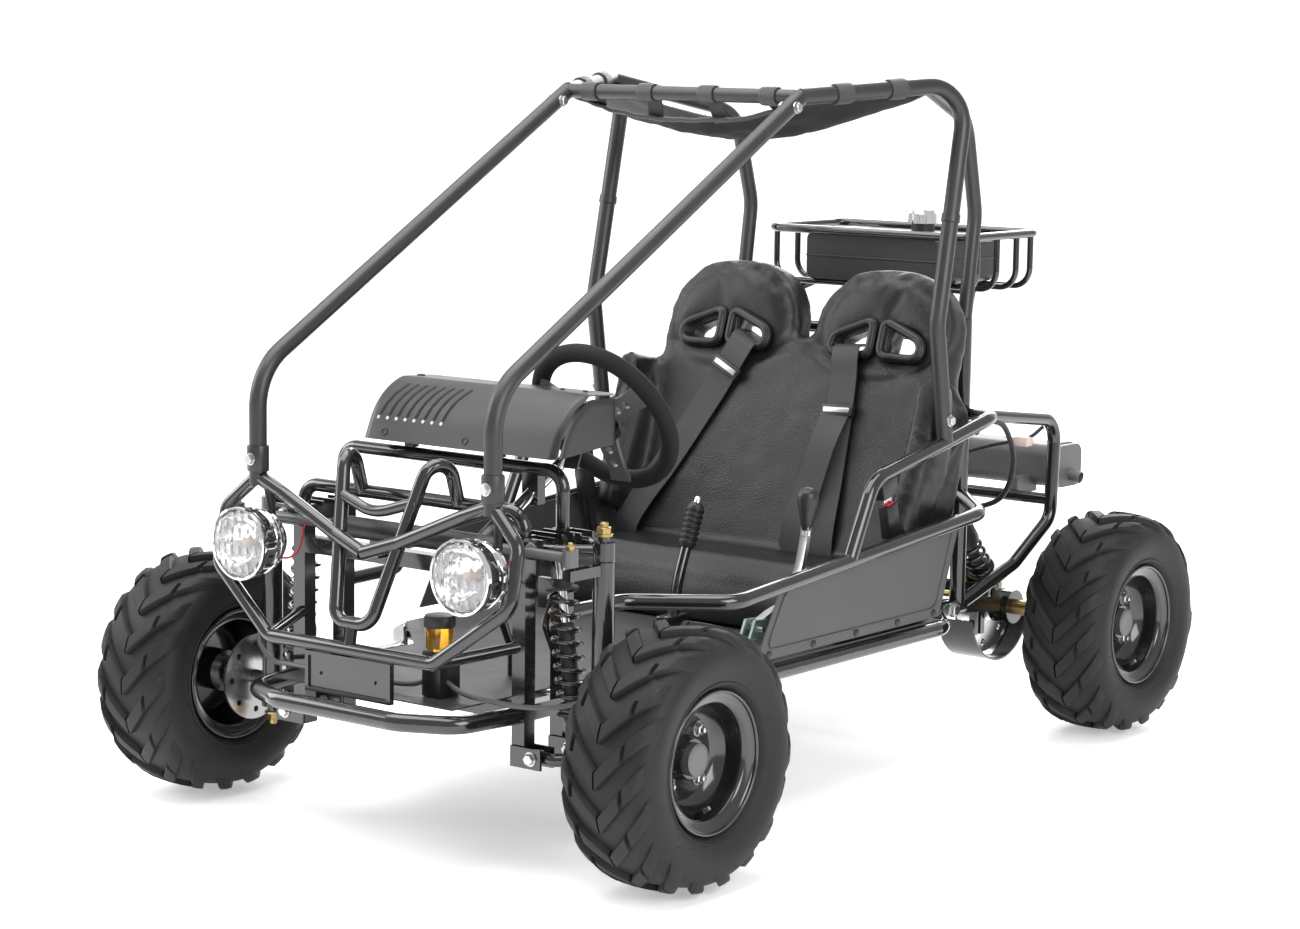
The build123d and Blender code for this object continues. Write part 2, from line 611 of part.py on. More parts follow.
def many_sided(sections, mode=Mode.ADD):
    """Flat-sided body about the x axis through sections of x and corner radius."""
    rings = []
    for x, radius in sections:
        with BuildSketch(Plane.YZ.offset(x)) as ring:
            RegularPolygon(radius, TYRE_FLATS)
        rings.append(ring.sketch)
    loft(rings, ruled=True, mode=mode)


with BuildPart() as tyre_form:
    many_sided(TREAD)
    lean = radians(TREAD_SWEEP)
    for number in range(TREAD_LUGS):
        angle = 2 * pi * number / TREAD_LUGS
        outward = Vector(0, -cos(angle), sin(angle))
        along = Vector(0, sin(angle), cos(angle))
        for side in SIDES:
            ridge = Vector(side * cos(lean), 0, 0) + along * sin(lean)
            start = Vector(2 * side, 0, 0) - along * (TREAD_LUG_W / 2)
            with BuildSketch(Plane(start, x_dir=ridge, z_dir=ridge.cross(outward))) as lug:
                with BuildLine():
                    Polyline(*[((x - 2) / cos(lean), height) for x, height in LUG_RUN], close=True)
                make_face()
            extrude(lug.sketch, amount=TREAD_LUG_W, dir=along)
    bore = (BEAD_R + FIT) / cos(pi / TYRE_FLATS)
    many_sided(((-TYRE_W, bore), (TYRE_W, bore)), mode=Mode.SUBTRACT)
    for side in SIDES:
        bead = ((BEAD_X - 3, bore), (BEAD_X, RIM_FLANGE_R + 2), (TYRE_W / 2 + 1, RIM_FLANGE_R + 24))
        many_sided([(side * x, radius) for x, radius in bead], mode=Mode.SUBTRACT)

for end, track_x, axle_y, axle_r in (
    ("front", FRONT_TRACK_X, FRONT_AXLE_Y, SPINDLE_R), ("rear", REAR_TRACK_X, REAR_AXLE_Y, AXLE_R),
):
    for side in SIDES:
        centre = Vector(side * track_x, axle_y, WHEEL_Z)
        outward = Vector(side, 0, 0)
        with BuildPart() as rim:
            for profile in (RIM_PROFILE, DISH_PROFILE, HUB_PROFILE):
                turned(profile, centre, outward)
            rod(centre - outward * RIM_W, centre + outward * AXLE_DEPTH, axle_r + FIT, mode=Mode.SUBTRACT)
        save(rim, f"rim_{end}_{SIDE_NAME[side]}")
        with BuildPart() as tyre:
            with Locations(centre):
                add(tyre_form.part)
        save(tyre, f"tyre_{end}_{SIDE_NAME[side]}")

# Front brake discs, drilled, on sleeves that reach the wheels' hubs
DISC_HOLES = 8
DISC_HOLE_R = 4.5
for side in SIDES:
    with BuildPart() as disc:
        with BuildSketch(across_axle(side * DISC_X - DISC_T / 2, FRONT_AXLE_Y)) as plate:
            Circle(DISC_R)
            with PolarLocations(DISC_R - 14, DISC_HOLES):
                Circle(DISC_HOLE_R, mode=Mode.SUBTRACT)
        extrude(plate.sketch, amount=DISC_T)
        sleeve = [(DISC_X, FRONT_AXLE_Y, WHEEL_Z), (FRONT_TRACK_X - 30, FRONT_AXLE_Y, WHEEL_Z)]
        rod(*side_of(side, *sleeve), HUB_CAP_R)
        bore = [(DISC_X - 9, FRONT_AXLE_Y, WHEEL_Z), (FRONT_TRACK_X, FRONT_AXLE_Y, WHEEL_Z)]
        rod(*side_of(side, *bore), SPINDLE_R + FIT, mode=Mode.SUBTRACT)
    save(disc, f"disc_front_{SIDE_NAME[side]}")

# Rear axle: one shaft for both wheels, with the toothed sprocket and the brake disc
SPROCKET_X = -120.0
SPROCKET_R = 72.0
SPROCKET_T = 6.0
SPROCKET_TEETH = 36
SPROCKET_HOLES = 6
REAR_DISC_X = 140.0
REAR_DISC_R = 84.0
with BuildPart() as rear_axle:
    axle_end = REAR_TRACK_X + 26
    rod((-axle_end, REAR_AXLE_Y, WHEEL_Z), (axle_end, REAR_AXLE_Y, WHEEL_Z), AXLE_R)
    with BuildSketch(across_axle(SPROCKET_X - SPROCKET_T / 2, REAR_AXLE_Y)):
        with BuildLine():
            rim_line = []
            for number in range(SPROCKET_TEETH):
                for share, depth in ((-0.32, 7), (-0.14, 0), (0.14, 0), (0.32, 7)):
                    turn = 2 * pi * (number + share) / SPROCKET_TEETH
                    rim_line.append(((SPROCKET_R - depth) * cos(turn), (SPROCKET_R - depth) * sin(turn)))
            Polyline(*rim_line, close=True)
        make_face()
        with PolarLocations(46, SPROCKET_HOLES):
            Circle(10, mode=Mode.SUBTRACT)
    extrude(amount=SPROCKET_T)
    rod((SPROCKET_X - 14, REAR_AXLE_Y, WHEEL_Z), (SPROCKET_X + 14, REAR_AXLE_Y, WHEEL_Z), HUB_R)
save(rear_axle, "rear_axle")
with BuildPart() as rear_disc:
    with BuildSketch(across_axle(REAR_DISC_X - DISC_T / 2, REAR_AXLE_Y)):
        Circle(REAR_DISC_R)
        with PolarLocations(REAR_DISC_R - 17, DISC_HOLES):
            Circle(DISC_HOLE_R + 1, mode=Mode.SUBTRACT)
    extrude(amount=DISC_T)
    rod((REAR_DISC_X - 14, REAR_AXLE_Y, WHEEL_Z), (REAR_DISC_X + 14, REAR_AXLE_Y, WHEEL_Z), HUB_R - 2)
    bore = [(REAR_DISC_X - 20, REAR_AXLE_Y, WHEEL_Z), (REAR_DISC_X + 20, REAR_AXLE_Y, WHEEL_Z)]
    rod(*bore, AXLE_R + FIT, mode=Mode.SUBTRACT)
save(rear_disc, "rear_disc")

# Swing arm: box arms from the pivot tube to the axle's bearings, damper lugs and the disc's guard
PIVOT_R = 14.0
BEARING_R = 28.0
REAR_DAMPER_LOW = Vector(SWING_X, REAR_AXLE_Y - 53, FLOOR_Z + 12)
GUARD_R = REAR_DISC_R + 6
with BuildPart() as swing_arm:
    reach = REAR_POST.X - CAGE_R - FIT
    rod((-reach, SWING_Y, FLOOR_Z), (reach, SWING_Y, FLOOR_Z), PIVOT_R)
    for side in SIDES:
        x = side * SWING_X
        bar((x, SWING_Y, FLOOR_Z), (x, REAR_AXLE_Y, WHEEL_Z + 6), SWING_BAR)
        rod((x - 18, REAR_AXLE_Y, WHEEL_Z), (x + 18, REAR_AXLE_Y, WHEEL_Z), BEARING_R)
        for face in (-1, 1):
            ear_x = x + face * (DAMPER_EYE_R + FIT + LUG / 2)
            with Locations((ear_x, REAR_DAMPER_LOW.Y, REAR_DAMPER_LOW.Z - 8)):
                Box(LUG, 26, 44)
    bar((-SWING_X, SWING_Y + 84, FLOOR_Z - 10), (SWING_X, SWING_Y + 84, FLOOR_Z - 10), 20)
    guard_x = REAR_DISC_X - 32
    guard_end = SWING_X - SWING_BAR / 2
    with BuildSketch(across_axle(guard_x, REAR_AXLE_Y)) as trough:
        with BuildLine():
            for radius in (GUARD_R, GUARD_R + 3):
                CenterArc((0, 0), radius, 190, 160)
            for angle in (190, 350):
                ray = Vector(cos(radians(angle)), sin(radians(angle)))
                Line(ray * GUARD_R, ray * (GUARD_R + 3))
        make_face()
    extrude(trough.sketch, amount=guard_end + 4 - guard_x)
    for y in (REAR_AXLE_Y - GUARD_R + 6, REAR_AXLE_Y - GUARD_R + 26):
        block((guard_end - 6, y, WHEEL_Z - 40), (guard_end + 4, y + 12, WHEEL_Z + 8))
    bore = [(-REAR_TRACK_X, REAR_AXLE_Y, WHEEL_Z), (REAR_TRACK_X, REAR_AXLE_Y, WHEEL_Z)]
    rod(*bore, AXLE_R + FIT, mode=Mode.SUBTRACT)
save(swing_arm, "swing_arm")

# Rear dampers: from the posts behind the seat down to the swing arm's lugs
REAR_DAMPER_TOP = Vector(SWING_X, REAR_POST.Y + 14, FLOOR_Z + 162)
with BuildPart() as rear_dampers:
    for side in SIDES:
        top, low = side_of(side, REAR_DAMPER_TOP, REAR_DAMPER_LOW)
        pin = [REAR_DAMPER_TOP - Vector(10, 0, 0), (REAR_POST.X, REAR_DAMPER_TOP.Y - 4, REAR_DAMPER_TOP.Z)]
        rod(*side_of(side, *pin), 9)
        half_eye = Vector(DAMPER_EYE_R, 0, 0)
        rod(low - half_eye, low + half_eye, DAMPER_EYE_R)
        damper(low, top, (0.2, 0.8))
    add(rear_frame.part, mode=Mode.SUBTRACT)
    add(swing_arm.part, mode=Mode.SUBTRACT)
save(rear_dampers, "rear_dampers")

# Engine: crankcase with round covers on the cradle, and a finned cylinder lying forward
ENGINE_Z = CRADLE_Z + RAIL_R + FIT
ENGINE = Vector(104, REAR_POST.Y + 22, ENGINE_Z + 138)
CYLINDER_Z = CRADLE_Z + 75
FIN = 100.0
FIN_T = 4.0
FIN_COUNT = 7
FIN_PITCH = 11.0
with BuildPart() as engine:
    block((-ENGINE.X, ENGINE.Y, ENGINE_Z), (ENGINE.X, CRADLE_END_Y, ENGINE.Z))
    rod((0, ENGINE.Y - 95, CYLINDER_Z), (0, ENGINE.Y + 1, CYLINDER_Z), 38)
    block((-46, ENGINE.Y - 122, CYLINDER_Z - 48), (46, ENGINE.Y - 94, CYLINDER_Z + 48))
    for number in range(FIN_COUNT):
        with Locations((0, ENGINE.Y - 12 - FIN_PITCH * number, CYLINDER_Z)):
            Box(FIN, FIN_T, FIN)
    for side in SIDES:
        cover = [(x, ENGINE.Y + 67, CYLINDER_Z + 4) for x in (ENGINE.X - 1, ENGINE.X + 14)]
        rod(*side_of(side, *cover), 52)
save(engine, "engine")

# Muffler: a flat silencer across the tail, on two hangers, with its pipe from the engine
MUFFLER = Vector(236, TAIL_BAR.Y + 122, TAIL_BAR.Z + 82)
MUFFLER_X = -60.0
MUFFLER_D = 80.0
MUFFLER_H = 70.0
PIPE_X = 40.0
PIPE_Z = CRADLE_Z + 57
with BuildPart() as muffler:
    block((MUFFLER_X, MUFFLER.Y - MUFFLER_D, MUFFLER.Z - MUFFLER_H), MUFFLER)
    fillet(muffler.edges().filter_by(Axis.X), 18)
    pipe = [
        (PIPE_X, CRADLE_END_Y - 1, PIPE_Z), (PIPE_X, CRADLE_END_Y + 45, PIPE_Z),
        (PIPE_X, MUFFLER.Y - MUFFLER_D / 2, MUFFLER.Z - MUFFLER_H / 2),
    ]
    tube(pipe, 13, bend=40)
    for x in (-30, 170):
        block((x, TAIL_BAR.Y, TAIL_BAR.Z + 2), (x + 16, MUFFLER.Y - MUFFLER_D + 20, TAIL_BAR.Z + 30))
    add(rear_frame.part, mode=Mode.SUBTRACT)
    add(engine.part, mode=Mode.SUBTRACT)
save(muffler, "muffler")

# Rear rack: a basket of bent rods that holds the tank
RACK_TOP = REAR_POST.Z + 123
RACK_X = REAR_POST.X - 22
RACK_FLOOR = RACK_TOP - 87
RACK_FRONT = REAR_POST.Y + 44
RACK_REAR = RACK_FRONT + 212
with BuildPart() as rear_rack:
    tube(
        [
            (RACK_X, RACK_FRONT, RACK_TOP), (RACK_X, RACK_REAR, RACK_TOP),
            (-RACK_X, RACK_REAR, RACK_TOP), (-RACK_X, RACK_FRONT, RACK_TOP),
        ],
        BASKET_R + 2, bend=24, close=True,
    )
    for y in (RACK_FRONT + 24, RACK_FRONT + 84, RACK_FRONT + 144, RACK_FRONT + 188):
        tube(
            [
                (RACK_X, y, RACK_TOP), (RACK_X, y, RACK_FLOOR),
                (-RACK_X, y, RACK_FLOOR), (-RACK_X, y, RACK_TOP),
            ],
            BASKET_R, bend=30,
        )
    for side in SIDES:
        stem = [(REAR_POST.X, REAR_POST.Y, REAR_POST.Z - 17), (RACK_X - 46, RACK_FRONT + 84, RACK_FLOOR)]
        tube(side_of(side, *stem), ARM_R)
    add(rear_frame.part, mode=Mode.SUBTRACT)
    add(rear_stays.part, mode=Mode.SUBTRACT)
    block(
        (-RACK_X + 56, RACK_FRONT + 4, RACK_FLOOR + BASKET_R), (RACK_X - 56, RACK_REAR - 12, RACK_FLOOR + 40),
        mode=Mode.SUBTRACT,
    )
save(rear_rack, "rear_rack")

TANK_HALF = RACK_X - 69
TANK_Z = RACK_FLOOR + BASKET_R + FIT
TANK_TOP = RACK_TOP - 5
FILLER = Vector(78, RACK_FRONT + 46, TANK_TOP)
FILLER_H = 22.0
with BuildPart() as fuel_tank:
    block((-TANK_HALF, RACK_FRONT + 12, TANK_Z), (TANK_HALF, RACK_REAR - 24, TANK_TOP))
    fillet(fuel_tank.edges().filter_by(Axis.Y), 12)
    rod(FILLER - Vector(0, 0, 5), FILLER + Vector(0, 0, FILLER_H), 19)
save(fuel_tank, "fuel_tank")
with BuildPart() as fuel_cap:
    dome = ((0, 0), (0, 25), (18, 25), (24, 20), (26, 12), (26, 0))
    turned(dome, FILLER + Vector(0, 0, FILLER_H), (0, 0, 1))
save(fuel_cap, "fuel_cap")

# Double bucket seat: one moulded shell with two head humps, bolsters and belt slots
LEAN = radians(SEAT_LEAN)
BACK_PLANE = Plane((0, SEAT_BACK, CUSHION_TOP - 20), x_dir=(1, 0, 0), z_dir=(0, -cos(LEAN), sin(LEAN)))
BACK_H = (SEAT_TOP - CUSHION_TOP + 20) / cos(LEAN)
SLOT_Y = BACK_H - 117
SLOT_HALF = 34.0
SLOTS = (
    # x, lean: the slot's inner side is the higher one
    (HUMP_X - 46, 1), (HUMP_X + 46, -1), (-HUMP_X - 46, 1), (-HUMP_X + 46, -1),
)


def slot_outline(x, lean, grow=0.0):
    """Corners of a belt slot on the seat's back, widened all round by grow."""
    half = lean * (SLOT_HALF + grow)
    return [
        (x - half, SLOT_Y - 24 - grow), (x - half, SLOT_Y + 2 + grow),
        (x + half, SLOT_Y + 30 + grow), (x + half, SLOT_Y - 24 - grow),
    ]


with BuildPart() as seat:
    with BuildSketch(BACK_PLANE):
        with Locations((0, BACK_H / 2 - 106)):
            RectangleRounded(2 * SEAT_HALF, BACK_H - 132, 60)
        for x in (-HUMP_X, HUMP_X):
            with Locations((x, BACK_H / 2)):
                RectangleRounded(HUMP_W, BACK_H, 100)
        with Locations((0, BACK_H / 2 - 61)):
            Rectangle(130, BACK_H - 122)
    extrude(amount=-SEAT_PAD)
    with BuildSketch(BACK_PLANE):
        for x in (-SEAT_HALF + 24, SEAT_HALF - 24):
            with Locations((x, BACK_H / 2 - 71)):
                RectangleRounded(BOLSTER_W, BACK_H - 212, 20)
    extrude(amount=BOLSTER_D)
    with BuildSketch(Plane.YZ):
        with BuildLine():
            Line((SEAT_FRONT, PAN_TOP + FIT), (SEAT_FRONT, CUSHION_TOP - CUSHION_NOSE))
            nose_end = (SEAT_FRONT + CUSHION_NOSE, CUSHION_TOP)
            RadiusArc((SEAT_FRONT, CUSHION_TOP - CUSHION_NOSE), nose_end, CUSHION_NOSE)
            Polyline(
                nose_end, (SEAT_BACK + 10, CUSHION_TOP - 22), (SEAT_BACK + 40, PAN_TOP + FIT),
                (SEAT_FRONT, PAN_TOP + FIT),
            )
        make_face()
    extrude(amount=SEAT_HALF, both=True)
    block(
        (-2 * SEAT_HALF, SEAT_FRONT - SEAT_TOP, 0), (2 * SEAT_HALF, SEAT_BACK + SEAT_TOP, PAN_TOP),
        mode=Mode.SUBTRACT,
    )
    for x, lean in SLOTS:
        with BuildSketch(BACK_PLANE) as slot:
            with BuildLine():
                Polyline(*slot_outline(x, lean), close=True)
            make_face()
        extrude(slot.sketch, amount=-SEAT_PAD, mode=Mode.SUBTRACT)
    add(lower_frame.part, mode=Mode.SUBTRACT)
save(seat, "seat")

with BuildPart() as seat_bezels:
    for x, lean in SLOTS:
        with BuildSketch(BACK_PLANE.offset(FIT)):
            for grow, mode in ((10, Mode.ADD), (0, Mode.SUBTRACT)):
                with BuildLine():
                    Polyline(*slot_outline(x, lean, grow), close=True)
                make_face(mode=mode)
        extrude(amount=5)
save(seat_bezels, "seat_bezels")

# Lap and shoulder belts, flat on the seat
BELT_W = 48.0
BELT_T = 2.5
BELTS = (
    # x and height on the back at the top end, then at the low end
    (HUMP_X - 42, SLOT_Y - 37, HUMP_X - 30, 60),
    (-HUMP_X + 52, SLOT_Y - 37, -HUMP_X - 60, 120),
)
with BuildPart() as belts:
    for top_x, top_y, low_x, low_y in BELTS:
        run = Vector(low_x - top_x, low_y - top_y)
        side_step = Vector(-run.Y, run.X).normalized() * (BELT_W / 2)
        with BuildSketch(BACK_PLANE.offset(FIT)):
            with BuildLine():
                corners = [
                    Vector(top_x, top_y) + side_step, Vector(top_x, top_y) - side_step,
                    Vector(low_x, low_y) - side_step, Vector(low_x, low_y) + side_step,
                ]
                Polyline(*corners, close=True)
            make_face()
        extrude(amount=BELT_T)
    add(seat_bezels.part, mode=Mode.SUBTRACT)
save(belts, "belts")

# Dash cowl: a moulded hood over the knee hoop, on two stilts
COWL_X = (74 - NOSE_X, NOSE_X + 26)
COWL_WALL = 3.0
COWL_Y = UPRIGHT_Y[1]
COWL_REAR = COWL_Y + 88
COWL_END_R = 16.0
with BuildPart() as dash_cowl:
    with BuildSketch(Plane.YZ.offset(COWL_X[0])) as hood:
        with BuildLine():
            Line((COWL_Y - 46, KNEE_HOOP_Z + 22), (COWL_Y - 34, KNEE_HOOP_Z + 49))
            TangentArc((COWL_Y - 34, KNEE_HOOP_Z + 49), (COWL_Y + 30, KNEE_HOOP_Z + 104), tangent=(12, 27))
            Polyline(
                (COWL_Y + 30, KNEE_HOOP_Z + 104), (COWL_REAR, KNEE_HOOP_Z + 101),
                (COWL_REAR, KNEE_HOOP_Z + 34), (COWL_Y - 46, KNEE_HOOP_Z + 22),
            )
        make_face()
    extrude(hood.sketch, amount=COWL_X[1] - COWL_X[0])
    for end in (Axis.X, -Axis.X):
        face = dash_cowl.faces().sort_by(end)[-1]
        fillet(face.edges().sort_by(Axis.Z)[-3:], COWL_END_R)
    with BuildSketch(Plane.YZ.offset(COWL_X[0] + COWL_WALL)) as inside:
        with BuildLine():
            Polyline(
                (COWL_Y - 46 + COWL_WALL, KNEE_HOOP_Z + 14), (COWL_Y - 33 + COWL_WALL, KNEE_HOOP_Z + 47),
                (COWL_Y, KNEE_HOOP_Z + 86), (COWL_Y + 30, KNEE_HOOP_Z + 104 - COWL_WALL),
                (COWL_REAR + 5, KNEE_HOOP_Z + 101 - COWL_WALL), (COWL_REAR + 5, KNEE_HOOP_Z + 14), close=True,
            )
        make_face()
    extrude(inside.sketch, amount=COWL_X[1] - COWL_X[0] - 2 * COWL_WALL, mode=Mode.SUBTRACT)
    for x in (-80, 80):
        block((x, COWL_Y - 6, KNEE_HOOP_Z + BAR_R + FIT), (x + 16, COWL_Y + 6, KNEE_HOOP_Z + 86))
save(dash_cowl, "dash_cowl")

# Headlamps: ribbed bowl and domed lens, on stems from the bumper's braces
LAMP = Vector(POST_X - 12, FRONT_AXLE_Y - 170, POST_FOOT - 77)
LAMP_R = 50.0
BOWL = (
    # y behind the lamp's face, radius
    (4, 0), (4, LAMP_R), (22, LAMP_R), (26, LAMP_R - 6), (32, LAMP_R - 6), (32, LAMP_R - 3), (36, LAMP_R - 3),
    (36, LAMP_R - 8), (44, LAMP_R - 10), (44, LAMP_R - 7), (48, LAMP_R - 7), (48, LAMP_R - 12),
    (60, LAMP_R - 16), (70, LAMP_R - 28), (70, 0),
)
LENS = ((4, 0), (4, LAMP_R - 4), (1, LAMP_R - 4), (-4, LAMP_R - 18), (-6, LAMP_R - 34), (-6, 0))
with BuildPart() as headlamps:
    for side in SIDES:
        turned(BOWL, *side_of(side, LAMP), (0, 1, 0))
        stem = [(LAMP.X + 3, LAMP.Y + 62, LAMP.Z), (POST_X - 4, POST_Y + 15, POST_FOOT - 4)]
        rod(*side_of(side, *stem), 6)
    add(bumper.part, mode=Mode.SUBTRACT)
save(headlamps, "headlamps")
with BuildPart() as headlamp_lenses:
    for side in SIDES:
        turned(LENS, *side_of(side, LAMP), (0, 1, 0))
save(headlamp_lenses, "headlamp_lenses")

# Blank plate holder between the mid bar and the lower tube
PLATE = Vector(78, MID_BAR.Y - 5, FLOOR_Z + 12)
PLATE_TOP = MID_BAR.Z - BAR_R - FIT
PLATE_LIP = 6.0
with BuildPart() as plate_holder:
    block((-PLATE.X, PLATE.Y, PLATE.Z), (PLATE.X, PLATE.Y + 8, PLATE_TOP))
    recess_x = PLATE.X - PLATE_LIP
    block(
        (-recess_x, PLATE.Y, PLATE.Z + PLATE_LIP), (recess_x, PLATE.Y + 3, PLATE_TOP - PLATE_LIP),
        mode=Mode.SUBTRACT,
    )
    for x in (-50, 50):
        rod((x, PLATE.Y, PLATE.Z + 26), (x, PLATE.Y + 10, PLATE.Z + 26), 3, mode=Mode.SUBTRACT)
save(plate_holder, "plate_holder")

# Brake master cylinder with its reservoir
MASTER = Vector(NOSE_X - 107, RACK_Y - 18, FLOOR_Z + 82)
with BuildPart() as brake_reservoir:
    block((MASTER.X - 17, MASTER.Y - 18, PAN_TOP + FIT), (MASTER.X + 17, MASTER.Y + 24, MASTER.Z))
    rod(MASTER - Vector(0, 0, 1), MASTER + Vector(0, 0, 44), 17)
save(brake_reservoir, "brake_reservoir")

# Handbrake, gear lever and pedals
BRAKE_BASE = Vector(50, SEAT_FRONT - 67, FLOOR_Z + 40)
with BuildPart() as handbrake:
    foot = Vector(BRAKE_BASE.X, BRAKE_BASE.Y, PAN_TOP + FIT)
    block(foot - Vector(12, 28, 0), BRAKE_BASE + Vector(12, 28, 0))
    lever = [BRAKE_BASE + Vector(0, 0, -5), BRAKE_BASE + Vector(0, 12, 50), BRAKE_BASE + Vector(0, 56, 162)]
    tube(lever, 9, bend=60)
    turned(((55, 0), (55, 12), (98, 12), (118, 9), (118, 0)), lever[1], lever[2] - lever[1])
save(handbrake, "handbrake")

GEAR_BASE = Vector(FLOOR_X - 20, SEAT_FRONT - 177, FLOOR_Z + 78)
with BuildPart() as gear_lever:
    foot = Vector(GEAR_BASE.X, GEAR_BASE.Y, PAN_TOP + FIT)
    block(foot - Vector(12, 28, 0), GEAR_BASE + Vector(12, 26, 0))
    bends = ((0, -4), (86, 15), (120, 92), (124, 122))
    tube([GEAR_BASE + Vector(0, y, z) for y, z in bends], 6, bend=20)
    turned(
        ((0, 0), (0, 9), (12, 14), (30, 16), (46, 16), (57, 10), (57, 0)),
        GEAR_BASE + Vector(0, 124, 117), (0, 4, 57),
    )
save(gear_lever, "gear_lever")

PEDAL_X = (NOSE_X - 122, NOSE_X - 42)
PEDAL_Y = FRONT_AXLE_Y + 80
PEDAL_HALF = 24.0
with BuildPart() as pedals:
    for x in PEDAL_X:
        bends = ((0, 52), (-24, 100), (-4, 146))
        tube([(x, PEDAL_Y, PAN_TOP + FIT), *[(x, PEDAL_Y + y, FLOOR_Z + z) for y, z in bends]], 6, bend=16)
        block((x - PEDAL_HALF, PEDAL_Y - 12, FLOOR_Z + 120), (x + PEDAL_HALF, PEDAL_Y - 4, FLOOR_Z + 162))
save(pedals, "pedals")
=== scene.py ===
"""Looks of the off-road buggy: tread, springs, seat, belts, canopy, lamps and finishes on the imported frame.

Shapes are drawn in millimetres and scaled to the frame's metres when they become pieces. The buggy drives
towards -Y, +X is its left side and +Z is up.
"""

import math

import bmesh
import bpy
from mathutils import Matrix, Vector, noise


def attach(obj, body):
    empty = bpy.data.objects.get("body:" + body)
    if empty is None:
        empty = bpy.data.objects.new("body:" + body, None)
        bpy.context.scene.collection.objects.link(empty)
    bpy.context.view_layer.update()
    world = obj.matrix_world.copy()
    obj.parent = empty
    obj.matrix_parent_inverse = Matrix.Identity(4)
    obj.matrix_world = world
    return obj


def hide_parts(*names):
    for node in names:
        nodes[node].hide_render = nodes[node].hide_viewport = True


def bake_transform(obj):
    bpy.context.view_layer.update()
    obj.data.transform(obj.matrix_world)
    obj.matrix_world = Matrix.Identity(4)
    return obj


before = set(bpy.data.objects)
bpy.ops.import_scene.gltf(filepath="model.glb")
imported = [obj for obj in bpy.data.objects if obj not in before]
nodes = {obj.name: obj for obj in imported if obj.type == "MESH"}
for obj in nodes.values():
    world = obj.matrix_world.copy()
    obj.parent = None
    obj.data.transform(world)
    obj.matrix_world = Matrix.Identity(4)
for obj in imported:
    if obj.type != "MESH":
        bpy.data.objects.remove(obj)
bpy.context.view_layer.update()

# Sizes shared with the part's source
MM = 0.001
WHEEL_Z = 178
AXLE_Y = {"front": -600, "rear": 625}
TRACK = {"front": 432, "rear": 378}
SPINDLE_BORE = {"front": 10.4, "rear": 13}
STEER_HUB = Vector((150, -407, 583))
COLUMN_RAKE = math.radians(30)
COLUMN_AXIS = Vector((0, math.cos(COLUMN_RAKE), math.sin(COLUMN_RAKE)))
SEAT_LEAN = math.radians(17.6)
SEAT_FOOT = Vector((0, 175, 302))
LAMP = Vector((202, -770, 409))
PAN_TOP = 225.1
SIDES = ((1, "left"), (-1, "right"))
ORIGIN = Vector((0, 0, 0))
ACROSS = Vector((1, 0, 0))
ALONG = Vector((0, 1, 0))
UP = Vector((0, 0, 1))

# Shapes in mesh code


def basis(axis, origin=ORIGIN):
    """A matrix that turns +Z to the axis and moves to the origin."""
    turn = UP.rotation_difference(Vector(axis).normalized())
    return Matrix.Translation(Vector(origin)) @ turn.to_matrix().to_4x4()


def circle(radius, count, start=0.0, middle=(0, 0)):
    """Points round a circle in a plane; start is a share of one step."""
    angles = [math.tau * (k + start) / count for k in range(count)]
    return [(middle[0] + radius * math.cos(a), middle[1] + radius * math.sin(a)) for a in angles]


def merge(shape, part, slot=0, matrix=None):
    """Move a small bmesh into a larger one, with its material slot."""
    if matrix:
        bmesh.ops.transform(part, matrix=matrix, verts=part.verts)
    for face in part.faces:
        face.material_index = slot
    scratch = bpy.data.meshes.new("scratch")
    part.to_mesh(scratch)
    part.free()
    shape.from_mesh(scratch)
    bpy.data.meshes.remove(scratch)


def skin(shape, rows, ring=True, loop=False):
    """Faces between neighbouring rows of points; a row may be a ring, and the rows may form a loop."""
    made = []
    for near, far in zip(rows, rows[1:] + rows[:1] if loop else rows[1:]):
        for k in range(len(near) if ring else len(near) - 1):
            after = (k + 1) % len(near)
            made.append(shape.faces.new((near[k], near[after], far[after], far[k])))
    return made


def lathe(shape, profile, origin, axis, slot=0, segments=40):
    """Turn (along, radius) points about an axis through the origin."""
    part = bmesh.new()
    rings = []
    for along, radius in profile:
        if radius:
            rings.append([part.verts.new((x, y, along)) for x, y in circle(radius, segments)])
        else:
            rings.append([part.verts.new((0, 0, along))] * segments)
    for low, high in zip(rings, rings[1:]):
        for k in range(segments):
            after = (k + 1) % segments
            corners = list(dict.fromkeys((low[k], low[after], high[after], high[k])))
            if len(corners) > 2:
                part.faces.new(corners)
    merge(shape, part, slot, basis(axis, origin))


def sweep(shape, points, radius, slot=0, sides=14, closed=False):
    """Round tube along points, closed at its ends or on itself."""
    part = bmesh.new()
    points = [Vector(p) for p in points]
    last = len(points) - 1
    normal = (points[1] - points[0]).normalized().orthogonal().normalized()
    rings = []
    for i, point in enumerate(points):
        before = points[i - 1] if i or closed else point
        after = points[(i + 1) % len(points)] if i < last or closed else point
        run = (after - before).normalized()
        normal = (normal - run * normal.dot(run)).normalized()
        across = run.cross(normal)
        rings.append([part.verts.new(point + normal * a + across * b) for a, b in circle(radius, sides)])
    skin(part, rings, loop=closed)
    if not closed:
        part.faces.new(rings[0])
        part.faces.new(rings[-1])
    merge(shape, part, slot)


